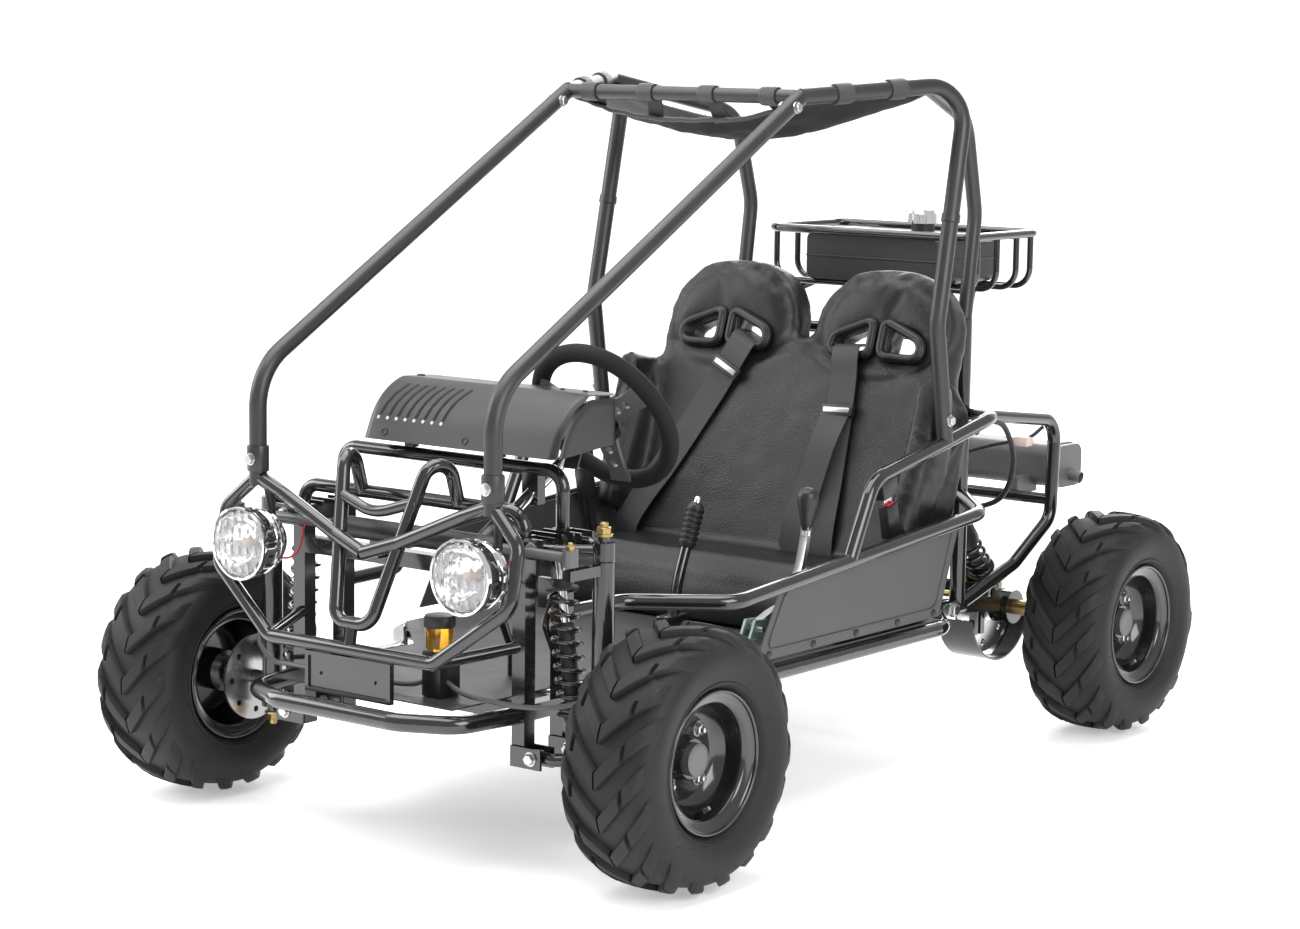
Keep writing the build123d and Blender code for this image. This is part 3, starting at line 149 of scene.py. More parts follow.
def smooth_path(points, steps=8):
    """Points on a smooth curve through the given ones."""
    points = [Vector(p) for p in points]
    points = [points[0] * 2 - points[1], *points, points[-1] * 2 - points[-2]]
    path = []
    for a, b, c, d in zip(points, points[1:], points[2:], points[3:]):
        square = 2 * a - 5 * b + 4 * c - d
        cube = 3 * b - a - 3 * c + d
        for t in (k / steps for k in range(steps)):
            path.append(0.5 * (2 * b + (c - a) * t + square * t ** 2 + cube * t ** 3))
    path.append(points[-2])
    return path


def length_of(path):
    """Length of a path of points."""
    return sum((b - a).length for a, b in zip(path, path[1:]))


def slab(shape, low, high, slot=0, bevel=1.0, matrix=None, segments=2):
    """Box between two corners, with its edges rounded."""
    low, high = Vector(low), Vector(high)
    part = bmesh.new()
    bmesh.ops.create_cube(part, size=1)
    for vert in part.verts:
        vert.co = (low + high) / 2 + vert.co * (high - low)
    if bevel:
        edges = part.edges[:]
        bmesh.ops.bevel(part, geom=edges, offset=bevel, segments=segments, profile=0.5, affect="EDGES")
    merge(shape, part, slot, matrix)


def plate(shape, outline, thickness, matrix, slot=0, holes=()):
    """Flat plate from an outline in its own plane, with round holes, and its thickness along +Z."""
    part = bmesh.new()
    edges = []
    for loop in (outline, *(circle(r, 14, middle=(x, y)) for x, y, r in holes)):
        verts = [part.verts.new((x, y, 0)) for x, y in loop]
        edges += [part.edges.new((a, b)) for a, b in zip(verts, verts[1:] + verts[:1])]
    filled = bmesh.ops.triangle_fill(part, edges=edges, use_beauty=True, use_dissolve=False)
    faces = [item for item in filled["geom"] if isinstance(item, bmesh.types.BMFace)]
    grown = bmesh.ops.extrude_face_region(part, geom=faces)
    upper = [item for item in grown["geom"] if isinstance(item, bmesh.types.BMVert)]
    bmesh.ops.translate(part, vec=(0, 0, thickness), verts=upper)
    merge(shape, part, slot, matrix)


def rounded(width, height, radius, steps=6):
    """Outline of a rectangle with round corners, about the middle."""
    outline = []
    for quarter, (sx, sy) in enumerate(((1, 1), (-1, 1), (-1, -1), (1, -1))):
        x, y = sx * (width / 2 - radius), sy * (height / 2 - radius)
        for angle in (math.pi / 2 * (quarter + k / steps) for k in range(steps + 1)):
            outline.append((x + radius * math.cos(angle), y + radius * math.sin(angle)))
    return outline


def round_corners(points, radius, steps=5):
    """A closed outline with its corners cut to arcs."""
    points = [Vector(p) for p in points]
    outline = []
    for before, here, after in zip(points[-1:] + points[:-1], points, points[1:] + points[:1]):
        start = here + (before - here).normalized() * radius
        end = here + (after - here).normalized() * radius
        for t in (k / steps for k in range(steps + 1)):
            outline.append(start * (1 - t) ** 2 + here * 2 * t * (1 - t) + end * t ** 2)
    return outline


def strap(shape, path, across, width, slot=0, thickness=2.2):
    """Flat webbing along a path, its width square to the run and nearest to the given direction."""
    path = smooth_path(path, 10)
    section = ((-1, -1), (-0.5, -0.9), (0.5, -0.9), (1, -1), (1, 1), (0.5, 0.9), (-0.5, 0.9), (-1, 1))
    rows = []
    for before, point, after in zip(path[:1] + path, path, path[1:] + path[-1:]):
        run = (after - before).normalized()
        wide = (across - run * across.dot(run)).normalized()
        thick = run.cross(wide)
        rows.append([
            shape.verts.new(point + wide * (a * width / 2) + thick * (b * thickness / 2)) for a, b in section
        ])
    for face in (*skin(shape, rows), shape.faces.new(rows[0]), shape.faces.new(rows[-1])):
        face.material_index = slot
    return length_of(path)


# Pieces


def mesh_of(name, shape):
    """The mesh of a bmesh, with its faces turned outwards."""
    bmesh.ops.recalc_face_normals(shape, faces=shape.faces)
    mesh = bpy.data.meshes.new(name)
    shape.to_mesh(mesh)
    shape.free()
    return mesh


def show(name, mesh, *materials):
    """Put a mesh in the scene under a name, with its materials."""
    if mesh.materials:
        mesh.materials.clear()
    for material in materials:
        mesh.materials.append(material)
    piece = bpy.data.objects.new(name, mesh)
    bpy.context.scene.collection.objects.link(piece)
    return piece


def template(name, shape):
    """A shape for the repeats to copy, removed again once they are made."""
    return show(name, mesh_of(name, shape))


def piece_from(name, shape, *materials, crease=38):
    """Make a piece of a bmesh: doubles merged, faces outwards, sharp edges kept, scaled to metres."""
    bmesh.ops.remove_doubles(shape, verts=shape.verts, dist=0.002)
    bmesh.ops.recalc_face_normals(shape, faces=shape.faces)
    bmesh.ops.scale(shape, vec=(MM, MM, MM), verts=shape.verts)
    limit = math.radians(crease)
    for edge in shape.edges:
        edge.smooth = edge.calc_face_angle(0) < limit
    for face in shape.faces:
        face.smooth = True
    return show(name, mesh_of(name, shape), *materials)


def fit(piece, slot, *stands_for, body="chassis"):
    """Ride a piece on a body and hide the nodes that it stands for; the slot is not used."""
    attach(piece, body)
    if stands_for:
        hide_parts(*stands_for)
    return piece


# Geometry Nodes


def plug(tree, node, links):
    """Link or set a node's inputs, by name or number."""
    for label, value in links.items():
        if isinstance(value, bpy.types.NodeSocket):
            tree.links.new(value, node.inputs[label])
        else:
            node.inputs[label].default_value = value


def put(tree, kind, links=None, out=0, **settings):
    """Add a node with its options and inputs, and return one of its outputs."""
    made = tree.nodes.new(kind)
    for key, value in settings.items():
        setattr(made, key, value)
    plug(tree, made, links or {})
    return made.outputs[out]


def open_tree(name, **inputs):
    """A tree with a Geometry input, named inputs and a Geometry output."""
    tree = bpy.data.node_groups.new(name, "GeometryNodeTree")
    for label, kind in {"Geometry": "Geometry", **inputs}.items():
        tree.interface.new_socket(label, in_out="INPUT", socket_type=f"NodeSocket{kind}")
    tree.interface.new_socket("Geometry", in_out="OUTPUT", socket_type="NodeSocketGeometry")
    return tree, tree.nodes.new("NodeGroupInput").outputs


def copies(tree, given, points, **placing):
    """The given shape on each point."""
    shape = put(tree, "GeometryNodeObjectInfo", {"Object": given["Shape"]}, "Geometry")
    return put(tree, "GeometryNodeInstanceOnPoints", {"Points": points, "Instance": shape, **placing})


def close_tree(tree, given, geometry, beside_host=False):
    """End a tree: real geometry with its material, beside the host or alone."""
    if beside_host:
        grown = geometry
        geometry = put(tree, "GeometryNodeJoinGeometry", {"Geometry": given["Geometry"]})
        tree.links.new(grown, geometry.node.inputs[0])
    real = put(tree, "GeometryNodeRealizeInstances", {"Geometry": geometry})
    dressed = put(tree, "GeometryNodeSetMaterial", {"Geometry": real, "Material": given["Finish"]})
    tree.links.new(dressed, tree.nodes.new("NodeGroupOutput").inputs[0])
    return tree


def grow(tree, host, **values):
    """Run a tree on a host mesh with the given inputs and return the plain mesh."""
    carrier = bpy.data.objects.new("carrier", host)
    bpy.context.scene.collection.objects.link(carrier)
    modifier = carrier.modifiers.new("grow", "NODES")
    modifier.node_group = tree
    for item in tree.interface.items_tree:
        if item.in_out == "INPUT" and item.name.lower() in values:
            modifier[item.identifier] = values[item.name.lower()]
    bpy.context.view_layer.update()
    ready = carrier.evaluated_get(bpy.context.evaluated_depsgraph_get())
    mesh = bpy.data.meshes.new_from_object(ready)
    bpy.data.objects.remove(carrier)
    return mesh


def ring_tree():
    """Copies of a shape set round the X axis, beside the host."""
    tree, given = open_tree("ring of copies", Shape="Object", Count="Int", Start="Float", Finish="Material")
    points = put(tree, "GeometryNodePoints", {"Count": given["Count"]})
    step = put(tree, "ShaderNodeMath", {0: math.tau, 1: given["Count"]}, operation="DIVIDE")
    index = put(tree, "GeometryNodeInputIndex")
    angle = put(tree, "ShaderNodeMath", {0: index, 1: step, 2: given["Start"]}, operation="MULTIPLY_ADD")
    euler = put(tree, "ShaderNodeCombineXYZ", {"X": angle})
    turn = put(tree, "FunctionNodeEulerToRotation", {0: euler})
    return close_tree(tree, given, copies(tree, given, points, Rotation=turn), beside_host=True)


def coil_tree():
    """Round wire wound into a spring up the Z axis."""
    tree, given = open_tree(
        "wound spring", Turns="Float", Radius="Float", Height="Float", Wire="Float", Finish="Material",
    )
    spiral = put(tree, "GeometryNodeCurveSpiral", {
        "Resolution": 26, "Rotations": given["Turns"], "Start Radius": given["Radius"],
        "End Radius": given["Radius"], "Height": given["Height"],
    })
    wire = put(tree, "GeometryNodeCurvePrimitiveCircle", {"Resolution": 10, "Radius": given["Wire"]})
    tube = put(tree, "GeometryNodeCurveToMesh", {"Curve": spiral, "Profile Curve": wire, "Fill Caps": True})
    return close_tree(tree, given, tube)


def point_tree():
    """A copy of a shape on each point of the host, turned to the point's aim and scaled by its size."""
    tree, given = open_tree("copies on points", Shape="Object", Finish="Material")
    aim = put(tree, "GeometryNodeInputNamedAttribute", {"Name": "aim"}, data_type="FLOAT_VECTOR")
    size = put(tree, "GeometryNodeInputNamedAttribute", {"Name": "size"}, data_type="FLOAT")
    turn = put(tree, "FunctionNodeAlignRotationToVector", {"Vector": aim}, axis="Z")
    return close_tree(tree, given, copies(tree, given, given["Geometry"], Rotation=turn, Scale=size))


def whisker_tree():
    """Moulding whiskers scattered over the shoulders of a tyre, with a fixed seed."""
    tree, given = open_tree(
        "moulding whiskers", Shape="Object", Density="Float", Seed="Int", Finish="Material",
    )
    normal = put(tree, "GeometryNodeInputNormal")
    sideways = put(tree, "ShaderNodeSeparateXYZ", {0: normal}, "X")
    tilt = put(tree, "ShaderNodeMath", {0: sideways}, operation="ABSOLUTE")
    shoulder = put(tree, "FunctionNodeCompare", {0: tilt, 1: 0.35}, operation="GREATER_THAN")
    spots = put(tree, "GeometryNodeDistributePointsOnFaces", {
        "Mesh": given["Geometry"], "Selection": shoulder, "Density": given["Density"], "Seed": given["Seed"],
    }, "Points")
    length = put(tree, "FunctionNodeRandomValue", {2: 0.5, 3: 1.0, "Seed": given["Seed"]}, 1)
    hairs = copies(tree, given, spots, Rotation=spots.node.outputs["Rotation"], Scale=length)
    return close_tree(tree, given, hairs, beside_host=True)


RING = ring_tree()
COIL = coil_tree()
ON_POINTS = point_tree()
WHISKERS = whisker_tree()


def studs(spots):
    """Points with an aim and a size, for the copies to stand on."""
    mesh = bpy.data.meshes.new("studs")
    mesh.from_pydata([place for place, _, _ in spots], [], [])
    mesh.attributes.new("aim", "FLOAT_VECTOR", "POINT")
    mesh.attributes.new("size", "FLOAT", "POINT")
    for k, (_, way, scale) in enumerate(spots):
        mesh.attributes["aim"].data[k].vector = way
        mesh.attributes["size"].data[k].value = scale
    return mesh


def repeat(name, spots, shape, material, slot, body="chassis"):
    """One piece on a body, of copies of a template on (place, aim, size) spots."""
    part = bmesh.new()
    part.from_mesh(grow(ON_POINTS, studs(spots), shape=shape, finish=material))
    fit(piece_from(name, part, material), slot, body=body)


# Finishes


def finish(name, colour, rough, metal=0.0, grain=300.0, depth=0.1, vary=0.25, spread=0.08, coat=0.0,
           pattern="noise", light=None, shine=0.5):
    """A surface with fine grain in its bump, and uneven colour and gloss, all on Object coordinates."""
    material = bpy.data.materials.new(name)
    material.use_nodes = True
    tree = material.node_tree
    place = put(tree, "ShaderNodeTexCoord", out="Object")
    cloud = put(tree, "ShaderNodeTexNoise", {
        "Vector": place, "Scale": 9.0, "Detail": 5.0, "Roughness": 0.6,
    }, "Fac")
    if pattern == "leather":
        cells = put(tree, "ShaderNodeTexVoronoi", {
            "Vector": place, "Scale": grain, "Randomness": 1.0,
        }, "Distance", feature="DISTANCE_TO_EDGE")
        height = put(tree, "ShaderNodeMapRange", {0: cells, 1: 0.0, 2: 0.22, 3: 0.0, 4: 1.0})
    elif pattern == "weave":
        warp, weft = (
            put(tree, "ShaderNodeTexWave", {
                "Vector": place, "Scale": grain, "Distortion": 0.4, "Detail": 1.0,
            }, "Fac", bands_direction=way)
            for way in ("X", "DIAGONAL")
        )
        height = put(tree, "ShaderNodeMath", {0: warp, 1: weft}, operation="MAXIMUM")
    else:
        height = put(tree, "ShaderNodeTexNoise", {
            "Vector": place, "Scale": grain, "Detail": 6.0, "Roughness": 0.65,
        }, "Fac")
    dark = [c * (1 - vary) for c in colour]
    pale = light or [min(c * (1 + vary * 2) + 0.004, 1.0) for c in colour]
    plug(tree, tree.nodes["Principled BSDF"], {
        "Metallic": metal, "Specular IOR Level": shine, "Coat Weight": coat, "Coat Roughness": 0.08,
        "Normal": put(tree, "ShaderNodeBump", {"Height": height, "Strength": depth, "Distance": 0.001}),
        "Roughness": put(tree, "ShaderNodeMapRange", {
            0: cloud, 1: 0.3, 2: 0.7, 3: max(rough - spread, 0.03), 4: min(rough + spread, 1.0),
        }),
        "Base Color": put(tree, "ShaderNodeMix", {
            0: cloud, 6: (*dark, 1), 7: (*pale, 1),
        }, 2, data_type="RGBA"),
    })
    return material


def clear(name, colour, rough, ior, ridges=0.0):
    """See-through finish, with pressed ridges where the real one has them."""
    material = finish(name, colour, rough, grain=70, depth=0.02, vary=0.04, spread=0.02)
    tree = material.node_tree
    shader = tree.nodes["Principled BSDF"]
    plug(tree, shader, {"Transmission Weight": 0.92, "IOR": ior})
    if ridges:
        place = put(tree, "ShaderNodeTexCoord", out="Object")
        flutes, rows = (
            put(tree, "ShaderNodeTexWave", {"Vector": place, "Scale": scale}, "Fac", bands_direction=way)
            for scale, way in ((ridges, "X"), (ridges * 0.55, "Z"))
        )
        blocks = put(tree, "ShaderNodeMath", {0: flutes, 1: rows}, operation="MULTIPLY")
        bump = put(tree, "ShaderNodeBump", {"Height": blocks, "Strength": 0.9, "Distance": 0.003})
        plug(tree, shader, {"Normal": bump})
    return material


GLOSS_BLACK = finish("gloss black paint", (0.007, 0.007, 0.008), 0.17, grain=90, depth=0.03, coat=0.7)
CAGE_GREY = finish("satin cage paint", (0.020, 0.020, 0.021), 0.34, grain=900, depth=0.12, vary=0.12)
PANEL_BLACK = finish("satin panel paint", (0.045, 0.045, 0.046), 0.42, grain=700, depth=0.12, vary=0.15)
RUBBER = finish(
    "tyre rubber", (0.008, 0.008, 0.008), 0.58, grain=420, depth=0.35, vary=0.4, light=(0.018, 0.017, 0.016),
    shine=0.32,
)
VINYL = finish(
    "black grained vinyl", (0.006, 0.006, 0.007), 0.35, grain=300, depth=0.26, pattern="leather", vary=0.2,
    shine=0.42,
)
WEBBING = finish(
    "belt webbing", (0.040, 0.040, 0.042), 0.44, grain=420, depth=0.5, pattern="weave", vary=0.15,
)
CLOTH = finish(
    "canopy cloth", (0.010, 0.010, 0.010), 0.75, grain=330, depth=0.45, pattern="weave", vary=0.3, shine=0.25,
)
COWL = finish("moulded cowl plastic", (0.013, 0.013, 0.014), 0.34, grain=1300, depth=0.18, vary=0.15)
PLASTIC = finish("black plastic", (0.010, 0.010, 0.010), 0.36, grain=1000, depth=0.15)
FOAM = finish("foam grip", (0.006, 0.006, 0.006), 0.75, grain=1700, depth=0.5, shine=0.25)
SPOKE_GREY = finish("grey spoke steel", (0.11, 0.11, 0.11), 0.36, metal=0.4, grain=120, depth=0.06)
STEEL = finish("zinc plated steel", (0.50, 0.50, 0.49), 0.30, metal=1.0, grain=160, depth=0.08, vary=0.2)
GROUND_STEEL = finish("ground disc steel", (0.60,) * 3, 0.27, metal=1.0, grain=500, depth=0.10, vary=0.12)
GALVANISED = finish(
    "galvanised bracket", (0.30, 0.36, 0.36), 0.42, metal=0.9, grain=60, depth=0.08, vary=0.3,
)
CHROME = finish("chrome", (0.80,) * 3, 0.07, metal=1.0, grain=20, depth=0.01, vary=0.05, spread=0.03)
GOLD = finish("yellow zinc", (0.36, 0.26, 0.10), 0.34, metal=1.0, grain=200, depth=0.08, vary=0.3)
ALLOY = finish("cast alloy", (0.12, 0.12, 0.12), 0.45, metal=0.7, grain=800, depth=0.35, vary=0.25)
MUFFLER_GREY = finish("heat-proof grey", (0.12, 0.12, 0.12), 0.50, metal=0.2, grain=900, depth=0.2)
TANK_BLACK = finish("tank plastic", (0.014, 0.014, 0.014), 0.42, grain=240, depth=0.25, vary=0.3)
RED = finish("red plastic", (0.55, 0.01, 0.02), 0.30, grain=500, depth=0.05)
HOSE = finish("grey hose", (0.09, 0.09, 0.085), 0.45, grain=600, depth=0.2)
WIRE = finish("black sleeve", (0.012, 0.012, 0.012), 0.50, grain=900, depth=0.3)
PALE = finish("pale connector", (0.62, 0.50, 0.44), 0.45, grain=500, depth=0.1)
LENS = clear("fluted lamp glass", (0.95, 0.96, 0.97), 0.04, 1.45, ridges=22)
AMBER = clear("amber cup", (0.85, 0.42, 0.03), 0.18, 1.40)

NODE_FINISH = {
    GLOSS_BLACK: (
        "front_frame", "lower_frame", "bumper", "bull_bar", "dash_hoops", "rear_frame", "side_rail_left",
        "side_rail_right", "rear_rack", "wishbones_left", "wishbones_right", "swing_arm", "plate_holder",
        "pedals", "knuckle_left", "knuckle_right",
    ),
    CAGE_GREY: ("roof_cage", "cage_post_left", "cage_post_right", "rear_stays"),
    PANEL_BLACK: ("side_panels", "floor_pan"),
    COWL: ("dash_cowl",),
    PLASTIC: ("rack_housing",),
    SPOKE_GREY: ("steering_rack",),
    GOLD: ("rear_axle",),
    CHROME: ("steering_column",),
    GROUND_STEEL: ("disc_front_left", "disc_front_right", "rear_disc"),
    ALLOY: ("engine",),
    MUFFLER_GREY: ("muffler",),
    TANK_BLACK: ("fuel_tank",),
}
for material, names in NODE_FINISH.items():
    for name in names:
        nodes[name].data.materials.clear()
        nodes[name].data.materials.append(material)

# Wheels

CARCASS = (
    # half width and radius, from the crown to the bead
    (0, 168.0), (18, 167.7), (32, 166.6), (46, 164.2), (57, 160.8), (65, 156.0), (70, 149.5), (72.5, 141.0),
    (73, 133.0), (71.8, 124.0), (69, 115.0), (66.4, 109.6), (66.0, 108.0), (67.2, 106.6), (66.2, 104.4),
    (63, 102.0), (58.6, 99.2), (55.4, 96.8), (52.5, 79.2),
)
LUGS = 18
LUG_REACH = (71.2, 65.5)
LUG_WIDTH = 28
LUG_SLOPE = math.tan(math.radians(46))
LUG_RIDGE = (
    # distance from the middle and height over the carcass, with a notch half-way
    (1.5, 9.4), (12, 9.4), (25, 9.4), (36.5, 9.5), (38, 4), (42, 4), (43.5, 9.8), (53, 9.6), (60, 9),
)
WHISKERS_PER_MM2 = 420e-6
RIM_FACE = (
    # along the axle outwards, radius: from the hub's face out to the rolled lip
    (24, 22.2), (24, 26.2), (8, 29.6), (7, 31), (7, 57), (8.2, 61.5), (13, 66.5), (22, 73.5), (26, 74.8),
    (44, 75.2), (50, 76.5), (53, 80), (54.5, 87), (56, 91), (58.5, 93),
)
RIM_FLANK = ((57.5, 95), (54.8, 93.5), (53, 88), (51, 80), (48, 78.2))
RIM_BACK = (
    # the same from the inner lip to the hub's rear end
    (-58.5, 93), (-56, 91), (-54.5, 87), (-53, 80), (-50, 76.5), (-44, 75.2), (16, 74.8), (6, 67), (2.5, 60),
    (2, 56), (2, 31), (-30, 30),
)
WHEEL_NUT = (
    # sides, then the profile: washer, hexagon and stud
    (20, ((6.8, 10.5), (8.4, 10.5), (8.4, 8.2))),
    (6, ((8.4, 8.2), (14.5, 8.2), (15.5, 7), (15.5, 4.2))),
    (12, ((15.5, 4.2), (20, 4.2), (20.6, 3.4), (20.6, 0))),
)


def carcass_radius(x):
    """Radius of the bare tyre at a distance from its middle, on the tread and its shoulder."""
    for (x0, r0), (x1, r1) in zip(CARCASS, CARCASS[1:]):
        if x <= x1:
            return r0 + (r1 - r0) * (x - x0) / (x1 - x0)


def chevron(reach):
    """Both halves of one lug at the front of a tyre at the origin; they end at the given half width."""
    shape = bmesh.new()
    for side, _ in SIDES:
        rows = []
        for x, lift in (*LUG_RIDGE, (reach - 4, 7.2), (reach, 3)):
            low = (x - 2) * LUG_SLOPE - LUG_WIDTH / 2
            base, top = carcass_radius(x) - 4, carcass_radius(x) + lift
            section = (
                (0, base), (1.4, top - 2.4), (3.6, top - 0.3), (14, top), (24.4, top - 0.3),
                (26.6, top - 2.4), (LUG_WIDTH, base),
            )
            rows.append([
                shape.verts.new((side * x, -math.sqrt(r ** 2 - (low + z) ** 2), low + z)) for z, r in section
            ])
        skin(shape, rows, ring=False)
        shape.faces.new(rows[0])
        shape.faces.new(rows[-1])
    return template("lug", shape)


def tyre_mesh():
    """Bare tyre with whiskers on its shoulders and long and short chevrons in turn round its tread."""
    shape = bmesh.new()
    lathe(shape, [(-x, r) for x, r in reversed(CARCASS[1:])] + list(CARCASS), ORIGIN, ACROSS, segments=96)
    hair = bmesh.new()
    lathe(hair, ((-1, 0.42), (4, 0.3), (6.5, 0.12)), ORIGIN, UP, segments=4)
    whisker = template("whisker", hair)
    carcass = mesh_of("carcass", shape)
    mesh = grow(WHISKERS, carcass, shape=whisker, density=WHISKERS_PER_MM2, seed=7, finish=RUBBER)
    lugs = [chevron(reach) for reach in LUG_REACH]
    for k, lug in enumerate(lugs):
        mesh = grow(RING, mesh, shape=lug, count=LUGS // 2, start=k * math.tau / LUGS, finish=RUBBER)
    for made in (whisker, *lugs):
        bpy.data.objects.remove(made)
    return mesh


def dished_rim(side, bore):
    """Pressed rim of one wheel at the origin: dish, well and flanges in one skin, and its rolled lips."""
    shape = bmesh.new()
    inner_flank = [(-x, r) for x, r in reversed(RIM_FLANK)]
    outline = [*RIM_FACE, *RIM_FLANK, *inner_flank, *RIM_BACK, (-30, bore), (24, bore), RIM_FACE[0]]
    lathe(shape, outline, ORIGIN, ACROSS * side, 0, 80)
    for x in (58.5, -58.5):
        lip = [(x + 3 * c, 94 + 2.6 * s) for c, s in circle(1, 10)]
        lathe(shape, lip + lip[:1], ORIGIN, ACROSS * side, 0, 80)
    return shape


def wheel_trim(side):
    """Hub cap, wheel nuts and valve of one wheel at the origin."""
    shape = bmesh.new()
    out = ACROSS * side
    lathe(shape, ((33.8, 0), (34.8, 12), (34.8, 18.5), (33.5, 22.2), (24, 22.4)), ORIGIN, out)
    for y, z in circle(46, 4, 0.5):
        for sides, profile in WHEEL_NUT:
            lathe(shape, profile, (0, y, z), out, 1, sides)
    sweep(shape, [(side * 30, 0, -75.5), (side * 44, 0, -66)], 3.6, 2, 10)
    sweep(shape, [(side * 43, 0, -66.7), (side * 52, 0, -60.6)], 2.8, 1, 10)
    return shape


tread = tyre_mesh()
for end in ("front", "rear"):
    for side, hand in SIDES:
        place = f"{end}_{hand}"
        tyre = bmesh.new()
        tyre.from_mesh(tread)
        rim = dished_rim(side, SPINDLE_BORE[end])
        for name, shape, crease, materials, slot, stands_for in (
            ("lugged_tyre", tyre, 44, (RUBBER,), "tyre_rubber", (f"tyre_{place}",)),
            ("dished_rim", rim, 50, (GLOSS_BLACK,), "frame_black", (f"rim_{place}",)),
            ("wheel_trim", wheel_trim(side), 38, (SPOKE_GREY, STEEL, PLASTIC), "frame_black", ()),
        ):
            bmesh.ops.translate(shape, vec=(side * TRACK[end], AXLE_Y[end], WHEEL_Z), verts=shape.verts)
            piece = piece_from(f"{name}_{place}", shape, *materials, crease=crease)
            fit(piece, slot, *stands_for, body="axle" if end == "rear" else f"wheel_{place}")

# Springs and dampers

COIL_R = 18.5
COIL_PITCH = 18.5


def coil_over(shape, low, top, eye_along, spring, cover=None):
    """Damper with eyes, body, chrome rod, seats and a wound spring, from its low eye to its top one."""
    low = Vector(low)
    run = Vector(top) - low
    length = run.length
    for eye in (low, top):
        for radius, half, slot in ((10, 10, 0), (4.5, 10.8, 2)):
            lathe(shape, ((-half, 0), (-half, radius), (half, radius), (half, 0)), eye, eye_along, slot, 24)
    rod, sleeve, shoulder, start, end = (share * length for share in (0.55, 0.60, 0.61, *spring))
    lathe(shape, ((6, 0), (8, 11), (sleeve, 11), (shoulder, 9), (shoulder, 0)), low, run, 0, 28)
    lathe(shape, ((rod, 0), (rod, 6), (length - 6, 6), (length - 4, 0)), low, run, 1, 20)
    for at, way in ((start, -1), (end, 1)):
        seat = ((at, 10), (at, 22.5), (at + way * 3, 22.5), (at + way * 6, 15), (at + way * 14, 12))
        lathe(shape, seat, low, run, 0, 32)
    if cover:
        foot, head = cover[0] * length, cover[1] * length
        cuff = ((foot, 13.5), (foot + 4, 20.5), (foot + 10, 22.2), (head - 6, 22.2), (head, 19), (head, 10))
        lathe(shape, cuff, low, run, 3, 36)
        end = foot + 12
    height = end - start
    coil = grow(
        COIL, bpy.data.meshes.new("seat"), turns=height / COIL_PITCH, radius=COIL_R, height=height, wire=3.3,
        finish=GLOSS_BLACK,
    )
    part = bmesh.new()
    part.from_mesh(coil)
    merge(shape, part, 2, basis(run, low) @ Matrix.Translation((0, 0, start)))


front, rear = bmesh.new(), bmesh.new()
for side, _ in SIDES:
    coil_over(front, (side * 262, -600, 165.3), (side * 227, -600, 438), ALONG, (0.17, 0.77))
    coil_over(rear, (side * 184, 572, 222), (side * 184, 432, 372), ACROSS, (0.20, 0.80), cover=(0.50, 0.79))
    sweep(rear, [(side * 174, 432, 372), (side * 206, 429, 372)], 9, 0, 18)
for end, shape in (("front", front), ("rear", rear)):
    struts = piece_from(f"{end}_coil_overs", shape, WIRE, CHROME, GLOSS_BLACK, PLASTIC)
    fit(struts, "damper_steel", f"{end}_dampers")

# Steering wheel

SPOKE_EDGE = ((16, 21), (40, 17), (75, 14), (101, 17))
SPOKE_RIDGE = ((18, 19.5), (40, 15.8), (75, 12.8), (98, 15))

shape = bmesh.new()
grip = [(13 * s, 107 + 13 * c) for c, s in circle(1, 20)]
lathe(shape, grip + grip[:1], STEER_HUB, COLUMN_AXIS, 0, 96)
wheel_frame = basis(COLUMN_AXIS, STEER_HUB)
outline = [(x, -y) for x, y in SPOKE_EDGE] + [(x, y) for x, y in reversed(SPOKE_EDGE)]
for k in range(3):
    turn = Matrix.Rotation(math.radians(90 + 120 * k), 4, "Z")
    reach = wheel_frame @ turn @ Matrix.Translation((0, 0, -14))
    plate(shape, outline, 5, reach, 1, holes=((48, 0, 6), (70.6, 0, 6)))
    for edge in (1, -1):
        sweep(shape, [reach @ Vector((x, edge * y, 5)) for x, y in SPOKE_RIDGE], 1.6, 1, 8)
boss = ((-14, 0), (-14, 34), (-9, 34), (-8.5, 26), (-4, 25), (2, 19), (4, 0))
lathe(shape, boss, STEER_HUB, COLUMN_AXIS, 2)
for x, y in circle(29, 3, 0.25):
    spot = wheel_frame @ Vector((x, y, -9))
    lathe(shape, ((0, 4.2), (3.2, 4.2), (4, 3), (4, 0)), spot, COLUMN_AXIS, 3, 6)
rim = piece_from("foam_steering_wheel", shape, FOAM, SPOKE_GREY, PLASTIC, STEEL)
fit(rim, "grip_foam", "steering_wheel", body="steering")

# Seat

BACK_UP = Vector((0, math.sin(SEAT_LEAN), math.cos(SEAT_LEAN)))
BACK_OUT = Vector((0, -math.cos(SEAT_LEAN), math.sin(SEAT_LEAN)))
SLOT_V = 355.1
HUMPS = (146, -146)
COVER_VOXEL = 7.5 * MM
SWELL_CAP = 9 * MM


def on_back(across, up, out=0):
    """A point on the seat's back: across, up the lean and out of it."""
    return SEAT_FOOT + ACROSS * across + BACK_UP * up + BACK_OUT * out


def settle(piece):
    """Turn a piece's modifiers into its plain mesh."""
    ready = piece.evaluated_get(bpy.context.evaluated_depsgraph_get())
    mesh = bpy.data.meshes.new_from_object(ready)
    piece.modifiers.clear()
    piece.data = mesh


